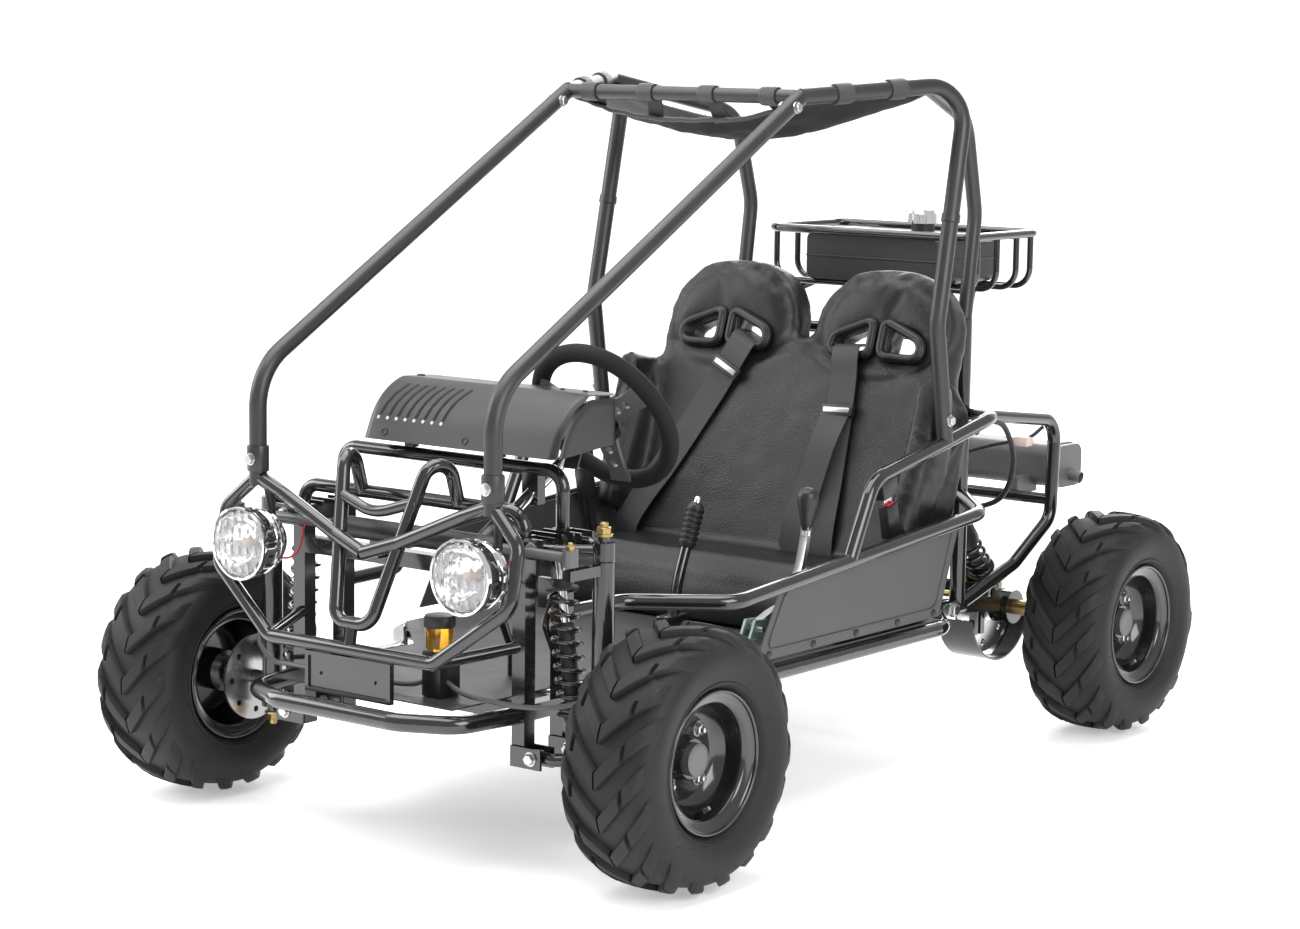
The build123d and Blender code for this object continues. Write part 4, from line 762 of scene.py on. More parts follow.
def soften(piece, voxel, rounds):
    """Remesh a copy of a moulded form and round its edges."""
    modifier = piece.modifiers.new("remesh", "REMESH")
    modifier.mode = "VOXEL"
    modifier.voxel_size = voxel
    modifier.use_smooth_shade = True
    ease = piece.modifiers.new("ease", "SMOOTH")
    ease.factor = 0.5
    ease.iterations = rounds
    settle(piece)


def glued(point):
    """1 where the cover is glued to the shell: under the cushion and behind the back; else 0."""
    behind = (point / MM - SEAT_FOOT).dot(BACK_OUT) < -45
    return 1.0 if behind or point.z / MM < 245 else 0.0


def inflate(piece, cap):
    """Let the cover swell a little under the foam's pressure, no point further than the cap."""
    rest = [vert.co.copy() for vert in piece.data.vertices]
    hold = piece.vertex_groups.new(name="hold")
    for vert in piece.data.vertices:
        hold.add([vert.index], glued(vert.co), "REPLACE")
    cloth = piece.modifiers.new("cover", "CLOTH")
    settings = cloth.settings
    settings.quality = 4
    settings.mass = 0.35
    settings.tension_stiffness = 18
    settings.compression_stiffness = 12
    settings.bending_stiffness = 0.6
    settings.use_pressure = True
    settings.uniform_pressure_force = 4
    settings.vertex_group_mass = "hold"
    settings.effector_weights.gravity = 0
    cloth.collision_settings.use_collision = False
    scene = bpy.context.scene
    for number in range(1, 21):
        scene.frame_set(number)
    settle(piece)
    for vert, start in zip(piece.data.vertices, rest):
        move = vert.co - start
        if move.length > cap:
            vert.co = start + move * (cap / move.length)
    piece.vertex_groups.clear()
    scene.frame_set(1)


def crease_depth(point):
    """How far the cover is pushed out at a point: sewn lines, folds and the shelf between the humps."""
    local = point / MM - SEAT_FOOT
    across, up, out = local.x, local.dot(BACK_UP), local.dot(BACK_OUT)
    depth = 1.2 * noise.noise(point * 9) + 0.6 * noise.noise(point * 31)
    if out > -20 and up > 20:
        for hump in HUMPS:
            ridge = math.hypot((across - hump) / 108, (up - 372) / 85)
            depth += 5 * max(0.0, 1 - ridge) - 3 * math.exp(-((ridge - 1) / 0.10) ** 2)
        wing = max(0.0, 1 - abs(abs(across) - 262) / 10)
        depth -= 6 * wing * min(1.0, max(0.0, (330 - up) / 100))
        depth += 7 * math.exp(-((up - 342) / 10) ** 2) * max(0.0, 1 - abs(across) / 36)
    if abs(across) > 250 and up > 0:
        fold = noise.noise(Vector((across * 0.018, up * 0.07 + across * 0.03, 3.1)))
        depth += 3 * fold * min(1.0, (abs(across) - 250) / 30)
    return depth


bucket = show("padded_bucket_seat", nodes["seat"].data.copy(), VINYL)
bpy.context.view_layer.update()
soften(bucket, COVER_VOXEL, 14)
inflate(bucket, SWELL_CAP)
bucket.data.update()
pulls = [vert.normal * (crease_depth(vert.co) * MM) for vert in bucket.data.vertices]
for vert, pull in zip(bucket.data.vertices, pulls):
    vert.co += pull
fine = bucket.modifiers.new("fine", "SUBSURF")
fine.levels = 1
fine.render_levels = 1
settle(bucket)
for face in bucket.data.polygons:
    face.use_smooth = True
fit(bucket, "seat_vinyl", "seat")

shape = bmesh.new()
for hump in HUMPS:
    for lean in (1, -1):
        corners = [
            Vector((hump + lean * (x - 46), SLOT_V + y))
            for x, y in ((-34, -24), (-34, 2), (34, 30), (34, -24))
        ]
        middle = sum(corners, Vector((0, 0))) / 4
        for out, radius, grown in ((8, 6.2, 3), (4, 7.5, 4), (-4, 5, 0)):
            wider = [corner + (corner - middle).normalized() * grown for corner in corners]
            edge = [on_back(u, v, out) for u, v in round_corners(wider, 16)]
            sweep(shape, edge, radius, 0, 12, closed=True)
fit(piece_from("slot_bezels", shape, PLASTIC), "plastic_black", "seat_bezels")

# Belts

BELT_WIDTH = 48
BELT_RUNS = (
    # points across, up and out of the seat's back
    ((100, 350, -30), (100, 343, 10), (102, 325, 19), (106, 290, 17), (110, 240, 16), (113, 180, 15),
     (116, 110, 15), (118, 52, 16), (119, 16, 12), (119, -16, 0)),
    ((109, 238, 20), (100, 180, 30), (86, 110, 24), (74, 56, 22), (69, 18, 14), (67, -16, 0)),
    ((-98, 350, -30), (-97, 341, 12), (-105, 318, 20), (-132, 262, 16), (-170, 188, 15), (-206, 120, 15),
     (-234, 68, 20), (-254, 24, 20), (-262, -10, 4)),
)
BUCKLE = (
    # half widths, low and high end, slot, bevel: housing, button, tongue and its cover
    (9, 15, 0, 52, 0, 3), (6, 9, 50.5, 54.5, 2, 1), (1.2, 11, 50, 68, 1, 0.4), (10, 21, 64, 100, 0, 4),
)

shape = bmesh.new()
webbing_length = 0.0
for run in BELT_RUNS:
    first, last = on_back(*run[1]), on_back(*run[-1])
    webbing_length += strap(shape, [on_back(*p) for p in run], (last - first).cross(BACK_OUT), BELT_WIDTH)
webbing = piece_from("seat_belts", shape, WEBBING, crease=60)
fit(webbing, "belt_webbing", "belts")
shape = bmesh.new()
lean = Matrix((ACROSS, BACK_UP, BACK_OUT)).transposed().to_4x4()
for spot, turn in (((109, 236, 19), 0.04), ((-119, 288, 19), -0.45)):
    at = Matrix.Translation(on_back(*spot)) @ lean @ Matrix.Rotation(turn, 4, "Z")
    slab(shape, (-29, -10, -4.5), (29, 10, 4.5), 0, 2.5, at)
    slab(shape, (-24, -4, 3.5), (24, 4, 5.8), 1, 0.8, at)
for side, _ in SIDES:
    stalk = [(side * 296, 128, 306), (side * 295, 120, 340), (side * 293, 108, 372)]
    sweep(shape, smooth_path(stalk, 6), 7, 0, 12)
    at = basis((0, -10, 40), (side * 293, 108, 368))
    for x, y, low, high, slot, bevel in BUCKLE:
        slab(shape, (-x, -y, low), (x, y, high), slot, bevel, at)
fittings = piece_from("belt_fittings", shape, PLASTIC, STEEL, RED)
fit(fittings, "plastic_black")

# Canopy

ROOF_FRONT = Vector((218, -45, 1023))
ROOF_REAR = Vector((326, 236, 1044))
RAIL_INSET = 9.1
CANOPY_SAG = ((-28, 985), (30, 966), (100, 955), (140, 961), (170, 975))
CANOPY_T = 3.2
COLUMNS = 72
ROWS = 26


def canopy_point(u, v):
    """A point of the cloth's upper side: u across from -1 to 1, v from its front edge to its rear one."""
    y = CANOPY_SAG[0][0] + (CANOPY_SAG[-1][0] - CANOPY_SAG[0][0]) * v
    rail = ROOF_FRONT.lerp(ROOF_REAR, (y - ROOF_FRONT.y) / (ROOF_REAR.y - ROOF_FRONT.y))
    spans = zip(CANOPY_SAG, CANOPY_SAG[1:])
    (y0, z0), (y1, z1) = next(span for span in spans if y <= span[1][0] + 1e-6)
    t = (y - y0) / (y1 - y0)
    middle = z0 + (z1 - z0) * t * t * (3 - 2 * t)
    half, edge = rail.x - RAIL_INSET, rail.z - RAIL_INSET
    sag = (edge - middle) * (1 - abs(u) ** 2.1)
    fold = 3 * noise.noise(Vector((u * 5, v * 2.4, 1.7)))
    fold += 1.2 * noise.noise(Vector((u * 14 + v * 6, v * 9, 5)))
    return Vector((u * half, y, edge - sag + fold * min(1.0, (1 - abs(u)) * 12)))


def canopy_row(v):
    """Points across the cloth at one share of its length."""
    return [canopy_point(2 * i / COLUMNS - 1, v) for i in range(COLUMNS + 1)]


def canopy_loop(shape, middle, along, radius, tongue):
    """Webbing band round a roof tube, with a tongue down to the cloth."""
    band = ((-14, 0.4), (-14, 2.6), (-10, 3.2), (10, 3.2), (14, 2.6), (14, 0.4))
    lathe(shape, [(x, radius + lift) for x, lift in band], middle, along, 0, 30)
    strap(shape, tongue, along.normalized(), 26, thickness=3)


shape = bmesh.new()
upper, lower = (
    [[shape.verts.new(point - UP * drop) for point in canopy_row(j / ROWS)] for j in range(ROWS + 1)]
    for drop in (0, CANOPY_T)
)
for grid in (upper, lower):
    skin(shape, grid, ring=False)
for j in (0, ROWS):
    skin(shape, (upper[j], lower[j]), ring=False)
for i in (0, COLUMNS):
    skin(shape, [[row[i] for row in grid] for grid in (upper, lower)], ring=False)
top = piece_from("canopy_cloth", shape, CLOTH, crease=60)
fit(top, "canopy_cloth", "canopy")
shape = bmesh.new()
for v, out in ((0, -1), (1, 1)):
    sweep(shape, [point + Vector((0, out, -1.6)) for point in canopy_row(v)], 3.4, 0, 8)
for x in (-170, -62, 52, 165):
    middle = Vector((x, ROOF_FRONT.y, ROOF_FRONT.z))
    hold = canopy_point(x / 205, 0.06) - UP * 5
    tongue = [middle + Vector((0, 12, -4)), middle + Vector((0, 17, -14)), hold]
    canopy_loop(shape, middle, ACROSS, 11, tongue)
for side, _ in SIDES:
    mirror = Vector((side, 1, 1))
    for share in (0.24, 0.56):
        middle = ROOF_FRONT.lerp(ROOF_REAR, share) * mirror
        tongue = [middle - Vector((side * x, 0, z)) for x, z in ((13.5, 4), (20.5, 13), (36.5, 21))]
        canopy_loop(shape, middle, (ROOF_REAR - ROOF_FRONT) * mirror, 12.5, tongue)
loops_piece = piece_from("canopy_straps", shape, WEBBING, crease=50)
fit(loops_piece, "canopy_cloth")

# Dash cowl: pressed louvres, dots, skirt holes and a brace

COWL_MIDDLE = (-504, 535)
COWL_R = 98.5
COWL_FACE = (0, -0.914, 0.406)


def on_cowl(x, turn, lift=0):
    """A point on the hood's curve: x across, and the angle up the arc in degrees."""
    angle = math.radians(turn)
    reach = COWL_R + lift
    return Vector((x, COWL_MIDDLE[0] + reach * math.cos(angle), COWL_MIDDLE[1] + reach * math.sin(angle)))


shape = bmesh.new()
for k in range(8):
    x = -104 + 16.5 * k
    slit = [on_cowl(x + 20 * ((153 - a) / 38) ** 1.4, a, 0.2) for a in (152, 145, 138, 131, 124, 118)]
    sweep(shape, slit, 1.3, 0, 8)
    sweep(shape, [p + Vector((2.6, 0, 0.2)) for p in slit], 1, 1, 8)
    lathe(shape, ((-1, 2.6), (0.8, 2.4), (1.2, 0)), on_cowl(x, 154.5), COWL_FACE, 2, 12)
for x in (-86, 62):
    hole = ((0.2, 5.8), (1, 5.6), (1, 4), (-0.6, 3.8), (-0.6, 0))
    lathe(shape, hole, (x, -601, 559), COWL_FACE, 0, 18)
lathe(shape, ((-2, 8.5), (1.6, 8.5), (2.4, 7), (2.4, 0)), (-128, -530, 606), -ACROSS, 0, 20)
lathe(shape, ((0, 6), (1.6, 6), (2.4, 4), (2.4, 0)), (-104, -505, 628.6), UP, 0, 16)
for x in (150, 190):
    lathe(shape, ((0, 3.5), (1.4, 3.4), (2.2, 2), (2.2, 0)), (x, -500, 628.3), UP, 0, 12)
brace = [(214, -560, 532), (214, -548, 560), (210, -528, 584), (206, -500, 590)]
strap(shape, brace, ACROSS, 24, slot=1, thickness=3)
fit(piece_from("cowl_pressings", shape, WIRE, COWL, PALE), "plastic_black")

# Lamps

LAMP_BOWL = (
    # along the lamp's axis and radius: rim, slotted band and ribbed back
    (1, 46.2), (-2.2, 48), (-1.5, 50.5), (3, 51.6), (7.5, 50.8), (8, 49.2), (22, 49.2), (23, 48), (26, 44.5),
    (32, 44.5), (33, 47), (36, 46.8), (37, 42.2), (44, 40.5), (45, 43), (48, 42.6), (49, 38), (60, 34),
    (67, 28), (70, 20), (70, 0),
)
LAMP_MIRROR = ((2, 46), (12, 43), (24, 36), (34, 26), (40, 14), (41, 0))
LAMP_BULB = ((14, 0), (15, 6), (20, 8.5), (26, 8.5), (40, 4))
LAMP_LENS = (
    (1.5, 45.8), (-2, 44), (-5, 30), (-6.6, 15), (-7, 0), (-4.2, 0), (-3.8, 15), (-2.2, 30), (1.2, 43.6),
    (1.5, 45.8),
)

bowls, lenses = bmesh.new(), bmesh.new()
for side, _ in SIDES:
    at = LAMP * Vector((side, 1, 1))
    lathe(bowls, LAMP_BOWL, at, ALONG, 0, 64)
    lathe(bowls, LAMP_MIRROR, at, ALONG, 0, 48)
    lathe(bowls, LAMP_BULB, at, ALONG, 2, 20)
    for x, z in circle(49, 22):
        way = Vector((x, 0, z))
        slab(bowls, (-2.2, 10.5, -1), (2.2, 19.5, 0.7), 1, 0, basis(way, at + way))
    bracket = [(side * 205, -708, 409), (side * 207, -700, 440), (side * 210, -704, 482)]
    sweep(bowls, smooth_path(bracket, 6), 6, 1, 14)
    slab(bowls, (-9, -14, -4), (9, 14, 4), 3, 1.5, basis((0, 0.3, 1), (side * 205, -706, 420)))
    lathe(lenses, LAMP_LENS, at, ALONG, 0, 64)
fit(piece_from("chrome_headlamps", bowls, CHROME, PLASTIC, PALE, STEEL), "lamp_metal", "headlamps")
fit(piece_from("fluted_lenses", lenses, LENS), "lamp_glass", "headlamp_lenses")

# Brake fluid cup

shape = bmesh.new()
slab(shape, (78, -706, PAN_TOP), (112, -664, 288), 1, 3)
slab(shape, (84, -712, 262), (106, -658, 280), 2, 3)
cup_foot = (95, -688, 0)
lathe(shape, ((286, 0), (286, 15), (292, 18.8), (322, 19.4), (322, 0)), cup_foot, UP, 0, 36)
lid = ((320, 19), (320, 20.8), (323, 21.4), (333, 21.4), (336, 19.8), (337, 12), (337, 0))
lathe(shape, lid, cup_foot, UP, 1, 36)
fit(piece_from("brake_fluid_cup", shape, AMBER, PLASTIC, GALVANISED), "reservoir_amber", "brake_reservoir")

# Levers

shape = bmesh.new()
slab(shape, (38, -140, PAN_TOP), (62, -84, 250), 0, 3)
low, bend, high = Vector((50, -112, 245)), Vector((50, -100, 300)), Vector((50, -56, 412))
sweep(shape, smooth_path([low, bend, bend.lerp(high, 0.5), high], 6), 8.5, 0, 16)
grip = [(50, 8.5), (52, 11.5)]
for at in (54 + 8.5 * k for k in range(7)):
    grip += [(at, 11.8), (at + 3, 14), (at + 5.5, 14), (at + 8, 11.8)]
grip += [(116, 11.8), (119, 9.5), (119, 0)]
lathe(shape, grip, bend, high - bend, 1, 28)
lathe(shape, ((118, 5.2), (128, 5.2), (130, 4.2), (130, 0)), bend, high - bend, 2, 20)
fit(piece_from("ribbed_handbrake", shape, GLOSS_BLACK, PLASTIC, CHROME), "grip_foam", "handbrake")

UPRIGHT = Matrix(((0, 0, 1, 0), (1, 0, 0, 0), (0, 1, 0, 0), (0, 0, 0, 1)))
SHIFT_TOP = (280, -98, 405)
KNOB_AXIS = (0, 4, 57)
KNOB = (
    (-6, 6.2), (0, 7.2), (3, 8.8), (14, 10.4), (28, 13.8), (40, 16), (48, 15.8), (54, 12.6), (57.5, 7),
    (58.5, 0),
)

shape = bmesh.new()
slab(shape, (268, -250, PAN_TOP), (292, -196, 262), 0, 3)
for x in (270, 286):
    cheek = Matrix.Translation((x, -222, 260)) @ UPRIGHT
    plate(shape, [(-26, 0), (24, 0), (18, 26), (-12, 28)], 4, cheek, 0, holes=((0, 14, 4),))
sweep(shape, [(266, -222, 274), (296, -222, 274)], 4.5, 2, 12)
bar = ((-226, 276), (-190, 289), (-142, 303), (-118, 336), (-103, 380), (-98, 408))
strap(shape, smooth_path([(280, y, z) for y, z in bar], 8), ACROSS, 13, slot=1, thickness=8.5)
lathe(shape, KNOB, SHIFT_TOP, KNOB_AXIS, 3, 32)
lathe(shape, ((-12, 0), (-12, 7.2), (-5, 7.2), (-4, 5)), SHIFT_TOP, KNOB_AXIS, 2, 24)
fit(piece_from("gear_shift", shape, GALVANISED, STEEL, CHROME, PLASTIC), "steel", "gear_lever")

# Pedal ribs

rib = bmesh.new()
slab(rib, (-20, -1.5, -1.4), (20, 2.2, 1.4), 0, 0.7)
rib_shape = template("rib", rib)
spots = [((x, -524, 335 + 8 * k), UP, 1.0) for x in (80, 160) for k in range(5)]
repeat("pedal_ribs", spots, rib_shape, FOAM, "grip_foam")
bpy.data.objects.remove(rib_shape)

# Fuel cap and tank seam

FILLER = (78, 508, 0)

shape = bmesh.new()
scallops = []
for angle in (math.tau * k / 96 for k in range(96)):
    reach = 23.4 + 1.5 * math.cos(8 * angle)
    scallops.append((reach * math.cos(angle), reach * math.sin(angle)))
plate(shape, scallops, 16, Matrix.Translation((78, 508, 812.2)))
lathe(shape, ((827.5, 22.6), (831, 20.5), (834.5, 19), (837.2, 12), (838, 0)), FILLER, UP)
fit(piece_from("scalloped_fuel_cap", shape, CHROME), "cap_chrome", "fuel_cap")
shape = bmesh.new()
sweep(shape, [(x, 562 + y, 752) for x, y in rounded(254.5, 176.8, 2)], 1.6, 0, 8, closed=True)
lathe(shape, ((789, 21.5), (793, 21.5), (794, 20)), FILLER, UP)
fit(piece_from("tank_seam", shape, TANK_BLACK), "plastic_black")

# Fasteners

KING_X = 305


def head_of(name, *steps):
    """A fastener at the origin, from the sides and the profile of each of its steps."""
    shape = bmesh.new()
    for sides, profile in steps:
        lathe(shape, profile, ORIGIN, UP, segments=sides)
    return template(name, shape)


bolt = head_of(
    "bolt", (24, ((-1, 0), (-1, 9.8), (1, 9.8), (1.2, 7.2))), (6, ((1.2, 8), (5.8, 8), (6.8, 6.6), (6.8, 0))),
)
nut = head_of(
    "nut", (24, ((-1, 0), (-1, 10.5), (1.4, 10.5), (1.6, 9.2))),
    (6, ((1.4, 9.2), (8.6, 9.2), (9.6, 7.6), (9.6, 5))), (16, ((9, 5), (14, 5), (15, 4), (15, 0))),
)
rivet = head_of("rivet", (20, ((-0.5, 6), (1, 5.8), (2.4, 4), (3, 0))))

frame_bolts, rivets = [], []
for side, _ in SIDES:
    out = ACROSS * side
    frame_bolts += [
        ((side * x, y, z), way, size) for x, y, z, way, size in (
            (214, -734, 522, -ALONG, 0.9), (230, -71, 1008, out, 0.9), (206, -71, 1008, -out, 0.9),
            (341.5, 187, 540, out, 0.9), (230.5, 386, 210, out, 1.3), (198.5, 572, 222, out, 0.9),
            (169.5, 572, 222, -out, 0.9), (227, -614, 438, -ALONG, 0.8), (227, -586, 438, ALONG, 0.8),
        )
    ]
    frame_bolts += [
        ((side * 227, y, z), ALONG * way, 1.0)
        for z in (435, 152) for y, way in ((-655, -1), (-625, 1), (-575, -1), (-545, 1))
    ]
    frame_bolts += [((side * 118, y, z), out, 0.55) for y, z in circle(45, 6, middle=(507, 322))]
    rivets += [((side * 318.7, y, 243), out, 1.0) for y in (-240, -130, -20, 90, 190)]
    rivets += [((side * 318.7, y, 341 + (y + 190) * 0.0814), out, 1.0) for y in (-190, -40, 110, 240)]
rivets += [((x, -760.5, z), -ALONG, 0.8) for x in (-70, 70) for z in (230, 268)]
repeat("frame_bolts", frame_bolts, bolt, STEEL, "steel")
repeat("panel_rivets", rivets, rivet, PLASTIC, "plastic_black")
for side, hand in SIDES:
    ends = [((side * KING_X, AXLE_Y["front"], z), UP * way, 1.15) for z, way in ((456.5, 1), (130.5, -1))]
    repeat(f"kingpin_nuts_{hand}", ends, nut, GOLD, "steel", body=f"knuckle_{hand}")
balls = [((side * KING_X, -670, 444.5), UP, 0.7) for side, _ in SIDES]
repeat("tie_rod_nuts", balls, nut, GOLD, "steel", body="rack")
for made in (bolt, nut, rivet):
    bpy.data.objects.remove(made)

# Sleeves on the cage, beads on the side panels

PANEL_BEAD = ((-245.7, 250), (-196.6, 334.6), (241, 370.3), (195.3, 250))

sleeves, beads = bmesh.new(), bmesh.new()
for side, _ in SIDES:
    sleeve = ((504, 12.6), (504, 14.8), (506, 15.6), (538, 15.6), (540, 14.8), (540, 12.6))
    lathe(sleeves, sleeve, (side * 214, -719, 0), UP, 0, 36)
    kink = Vector((side * 329, 163, 684))
    corner = ROOF_REAR * Vector((side, 1, 1))
    collar = ((0, 12.6), (0, 14), (12, 14.4), (13, 12.6))
    lathe(sleeves, collar, kink.lerp(corner, 0.46), kink - corner, 0, 36)
    bead = [(side * 318.6, *p) for p in round_corners(PANEL_BEAD, 20)]
    sweep(beads, bead, 2.2, 0, 8, closed=True)
fit(piece_from("cage_sleeves", sleeves, CAGE_GREY), "cage_grey")
fit(piece_from("panel_beads", beads, PANEL_BLACK), "panel_grey")

# Chain, rear caliper and muffler trim

CHAIN_X = -120
CHAIN_PITCH = 12.7
REAR_PULLEY = (Vector((625, 178)), 70.5)
FRONT_PULLEY = (Vector((548, 300)), 19)


def chain_run():
    """Centres and directions of the links, all round both sprockets."""
    (big, big_r), (small, small_r) = REAR_PULLEY, FRONT_PULLEY
    between = small - big
    lean = math.atan2(between.y, between.x)
    open_angle = math.acos((big_r - small_r) / between.length)
    path = []
    for middle, radius, first, last in (
        (big, big_r, lean + open_angle, lean + math.tau - open_angle),
        (small, small_r, lean - open_angle, lean + open_angle),
    ):
        for angle in (first + (last - first) * k / 40 for k in range(41)):
            path.append(middle + Vector((math.cos(angle), math.sin(angle))) * radius)
    path.append(path[0])
    total = length_of(path)
    count = round(total / CHAIN_PITCH)
    spots, walked, target = [], 0.0, 0.0
    for a, b in zip(path, path[1:]):
        step = (b - a).length
        while target <= walked + step and len(spots) < count:
            spot = a + (b - a) * ((target - walked) / step)
            way = (b - a) / step
            spots.append(((CHAIN_X, *spot), (0, *way), 1.0))
            target += total / count
        walked += step
    return spots


link = bmesh.new()
for x in (4.2, -4.2):
    slab(link, (x - 0.8, -4.2, -7.8), (x + 0.8, 4.2, 7.8), 0, 0.7, segments=1)
lathe(link, ((-5.8, 0), (-5.8, 2.4), (5.8, 2.4), (5.8, 0)), (0, 0, 6.3), ACROSS, segments=8)
link_shape = template("link", link)
repeat("drive_chain", chain_run(), link_shape, SPOKE_GREY, "steel")
bpy.data.objects.remove(link_shape)
shape = bmesh.new()
middle, radius = FRONT_PULLEY
sprocket = ((-3.5, 0), (-3.5, radius - 2), (3.5, radius - 2), (3.5, 10), (16, 10), (16, 0))
lathe(shape, sprocket, (CHAIN_X, *middle), ACROSS, 0, 28)
fit(piece_from("engine_sprocket", shape, STEEL), "steel")

shape = bmesh.new()
for x in (124, 145.5):
    slab(shape, (x, 549, 214), (x + 10.5, 585, 254), 0, 3)
slab(shape, (124, 545, 226), (156, 552, 250), 0, 3)
lathe(shape, ((0, 13), (8, 13), (10, 11), (10, 0)), (156, 567, 234), ACROSS, 0, 28)
slab(shape, (155, 540, 196), (173, 560, 226), 1, 2)
fit(piece_from("rear_caliper", shape, GOLD, GLOSS_BLACK), "steel")

shape = bmesh.new()
for x in (-46, 222):
    bead = [(x, 730 + y, 407 + z) for y, z in rounded(80.8, 70.8, 18)]
    sweep(shape, bead, 2.2, 0, 8, closed=True)
lathe(shape, ((0, 10), (22, 10), (22, 8.5), (2, 8.5)), (234, 735, 392), (1, 0, -0.2), 0, 28)
fit(piece_from("muffler_seams", shape, MUFFLER_GREY), "engine_alloy")

# Hoses and wires


def cord_piece(name, points, radius, material, bends=None):
    """A cord between two points of the buggy; bends names what it crosses, and a cord with bends stays in
    world space instead of riding on the chassis.
    """
    path = smooth_path(points, 10)
    shape = bmesh.new()
    sweep(shape, path, radius, 0, 12)
    made = piece_from(name, shape, material)
    if bends:
        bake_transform(made)
    else:
        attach(made, "chassis")


HOSE_START = {
    "left": [(111, -690, 246), (140, -694, 236)],
    "right": [(79, -690, 246), (40, -700, 236), (-100, -704, 234)],
}
HOSE_RUN = (
    (184, -694, 232), (228, -672, 226), (270, -648, 228), (303, -628, 238), (331, -598, 246),
    (332, -570, 246), (328, -549, 231),
)
LAMP_WIRE = ((202, -701, 398), (196, -688, 380), (188, -668, 388), (190, -652, 424))

for side, hand in SIDES:
    hose = HOSE_START[hand] + [(side * x, y, z) for x, y, z in HOSE_RUN]
    ends = (Vector((side * 250, -660, 227)) * MM, Vector((side * 328, -600, 244)) * MM)
    cord_piece(f"brake_hose_{hand}", hose, 3.6, HOSE, bends=("chassis", f"knuckle_{hand}", *ends))
cord_piece("shift_cable", [
    (318, 300, 510), (306, 350, 520), (296, 420, 505), (272, 490, 440), (220, 540, 372), (150, 552, 345),
    (118, 540, 340),
], 4.5, WIRE)
cord_piece("engine_loom", [
    (60, 560, 390), (90, 590, 420), (160, 606, 446), (222, 612, 462), (243, 630, 482),
], 3.2, WIRE)
shape = bmesh.new()
slab(shape, (206, 598, 450), (232, 618, 466), 0, 3)
slab(shape, (200, 601, 453), (206, 615, 463), 0, 2)
fit(piece_from("loom_connector", shape, PALE), "plastic_black")
for side, hand in SIDES:
    cord_piece(f"lamp_wire_{hand}", [(side * x, y, z) for x, y, z in LAMP_WIRE], 1.5, RED)

# Floor, light and camera, in metres but for the floor

CAMERA_AT = Vector((2.817, -3.757, 1.110))
CAMERA_YAW = math.radians(37.67)
CAMERA_PITCH = math.radians(7.89)
CAMERA_ROLL = math.radians(0.76)
SENSOR_WIDTH = 36
CAMERA_LENS = SENSOR_WIDTH * 3104 / 1300
FLOOR_HALF = 12000
FLOOR_FRONT = -6000
FLOOR_BACK = 5000
FLOOR_CURVE = 3000
FLOOR_TOP = 9000
LIGHTS = (
    # name, place, size, power
    ("overhead", (-0.4, -0.6, 3.4), 3.4, 150), ("left box", (3.6, -1.4, 2.0), 2.2, 85),
    ("right box", (-3.6, -2.0, 2.2), 2.4, 95), ("back box", (-1.6, 4.0, 2.6), 2.6, 120),
)
LIGHTS_AIM = Vector((0, 0, 0.4))


def paper_finish():
    """Glowing white floor finish, clear to a camera that looks up through it from below."""
    material = finish(
        "pale floor", (0.90,) * 3, 0.7, grain=40, depth=0.01, vary=0.01, spread=0.03, light=(0.93,) * 3,
    )
    tree = material.node_tree
    shader = tree.nodes["Principled BSDF"]
    plug(tree, shader, {"Emission Color": (1, 1, 1, 1), "Emission Strength": 0.38})
    seen = tree.nodes.new("ShaderNodeNewGeometry").outputs
    rising, low = (
        put(tree, "ShaderNodeMath", {
            0: put(tree, "ShaderNodeSeparateXYZ", {0: seen[label]}, "Z"), 1: 0.0,
        }, operation="LESS_THAN")
        for label in ("Incoming", "Position")
    )
    below = put(tree, "ShaderNodeMath", {0: rising, 1: low}, operation="MULTIPLY")
    gone = put(tree, "ShaderNodeBsdfTransparent")
    either = put(tree, "ShaderNodeMixShader", {0: below, 1: shader.outputs[0], 2: gone})
    plug(tree, tree.nodes["Material Output"], {"Surface": either})
    return material


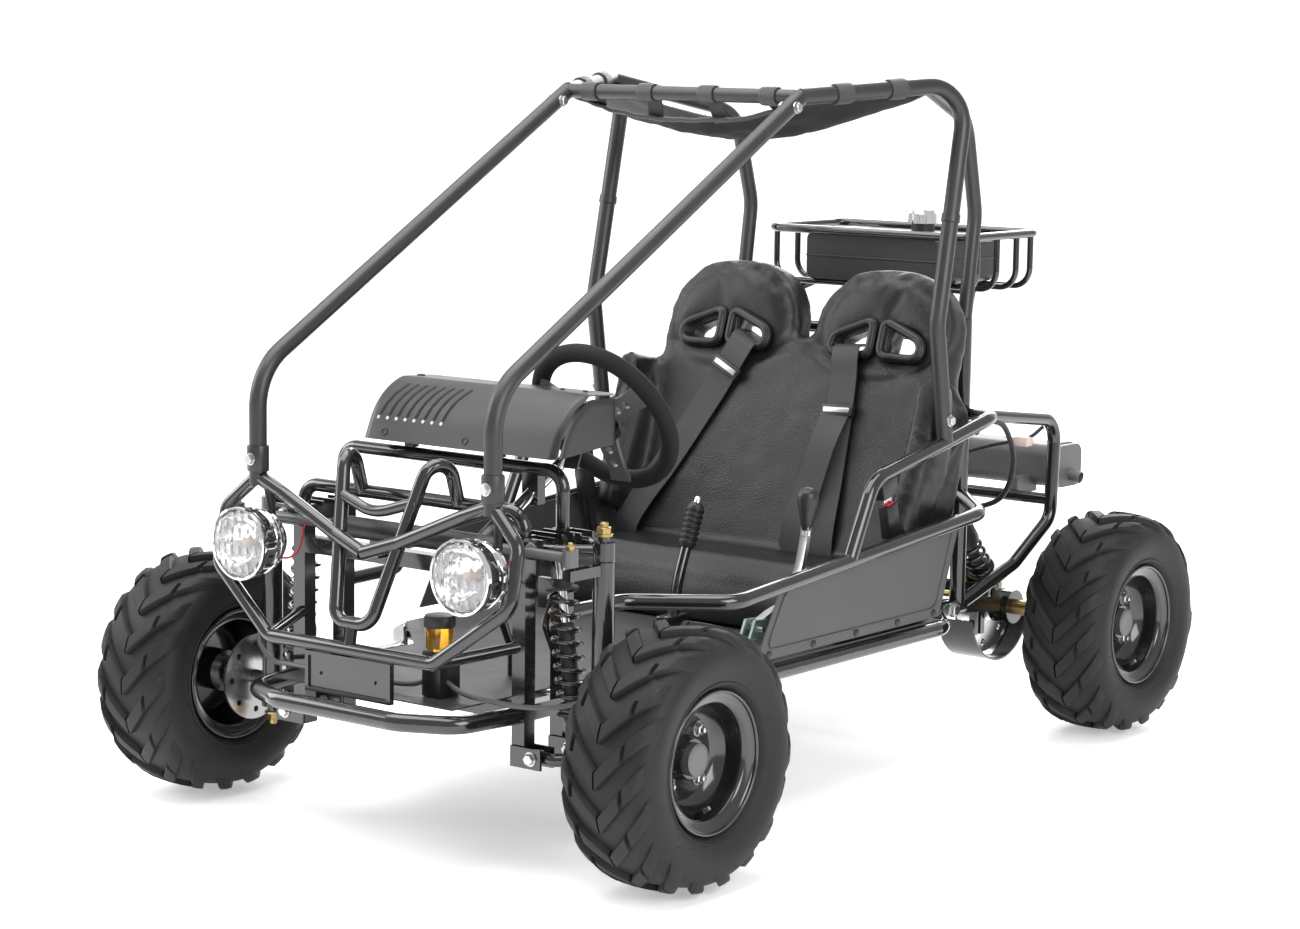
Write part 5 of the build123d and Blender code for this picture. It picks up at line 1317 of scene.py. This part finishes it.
def stage_set():
    """Pale floor that curves up behind, soft lights from above and both sides."""
    shape = bmesh.new()
    path = [(FLOOR_FRONT, 0), (FLOOR_BACK, 0)]
    for angle in (math.pi / 2 * k / 12 for k in range(1, 13)):
        path.append((FLOOR_BACK + FLOOR_CURVE * math.sin(angle), FLOOR_CURVE * (1 - math.cos(angle))))
    path.append((FLOOR_BACK + FLOOR_CURVE, FLOOR_TOP))
    facing = Matrix.Rotation(CAMERA_YAW, 4, "Z")
    skin(shape, [
        [shape.verts.new(facing @ Vector((x, along, up - 0.5))) for along, up in path]
        for x in (-FLOOR_HALF, FLOOR_HALF)
    ], ring=False)
    piece_from("floor", shape, paper_finish())
    scene = bpy.context.scene
    if not scene.world:
        scene.world = bpy.data.worlds.new("studio")
    scene.world.use_nodes = True
    tree = scene.world.node_tree
    straight = put(tree, "ShaderNodeLightPath", out="Is Camera Ray")
    strength = put(tree, "ShaderNodeMapRange", {0: straight, 3: 0.62, 4: 1.0})
    plug(tree, tree.nodes["Background"], {"Color": (1, 1, 1, 1), "Strength": strength})
    for name, place, size, power in LIGHTS:
        box = bpy.data.lights.new(name, "AREA")
        box.size = size
        box.energy = power
        lit = bpy.data.objects.new(name, box)
        scene.collection.objects.link(lit)
        lit.matrix_world = basis(Vector(place) - LIGHTS_AIM, place)


def set_camera():
    """The photograph's camera, solved from the buggy's own lines."""
    look = Vector((
        -math.sin(CAMERA_YAW) * math.cos(CAMERA_PITCH), math.cos(CAMERA_YAW) * math.cos(CAMERA_PITCH),
        -math.sin(CAMERA_PITCH),
    ))
    right = Vector((math.cos(CAMERA_YAW), math.sin(CAMERA_YAW), 0))
    up = right.cross(look)
    turned = right * math.cos(CAMERA_ROLL) + up * math.sin(CAMERA_ROLL)
    raised = up * math.cos(CAMERA_ROLL) - right * math.sin(CAMERA_ROLL)
    lens = bpy.data.cameras.new("camera")
    lens.sensor_fit = "HORIZONTAL"
    lens.sensor_width = SENSOR_WIDTH
    lens.lens = CAMERA_LENS
    lens.clip_end = 60
    camera = bpy.data.objects.new("camera", lens)
    bpy.context.scene.collection.objects.link(camera)
    facing = Matrix((turned, raised, -look)).transposed().to_4x4()
    camera.matrix_world = Matrix.Translation(CAMERA_AT) @ facing
    bpy.context.scene.camera = camera
    bpy.context.scene.view_settings.view_transform = "Standard"


set_camera()
stage_set()
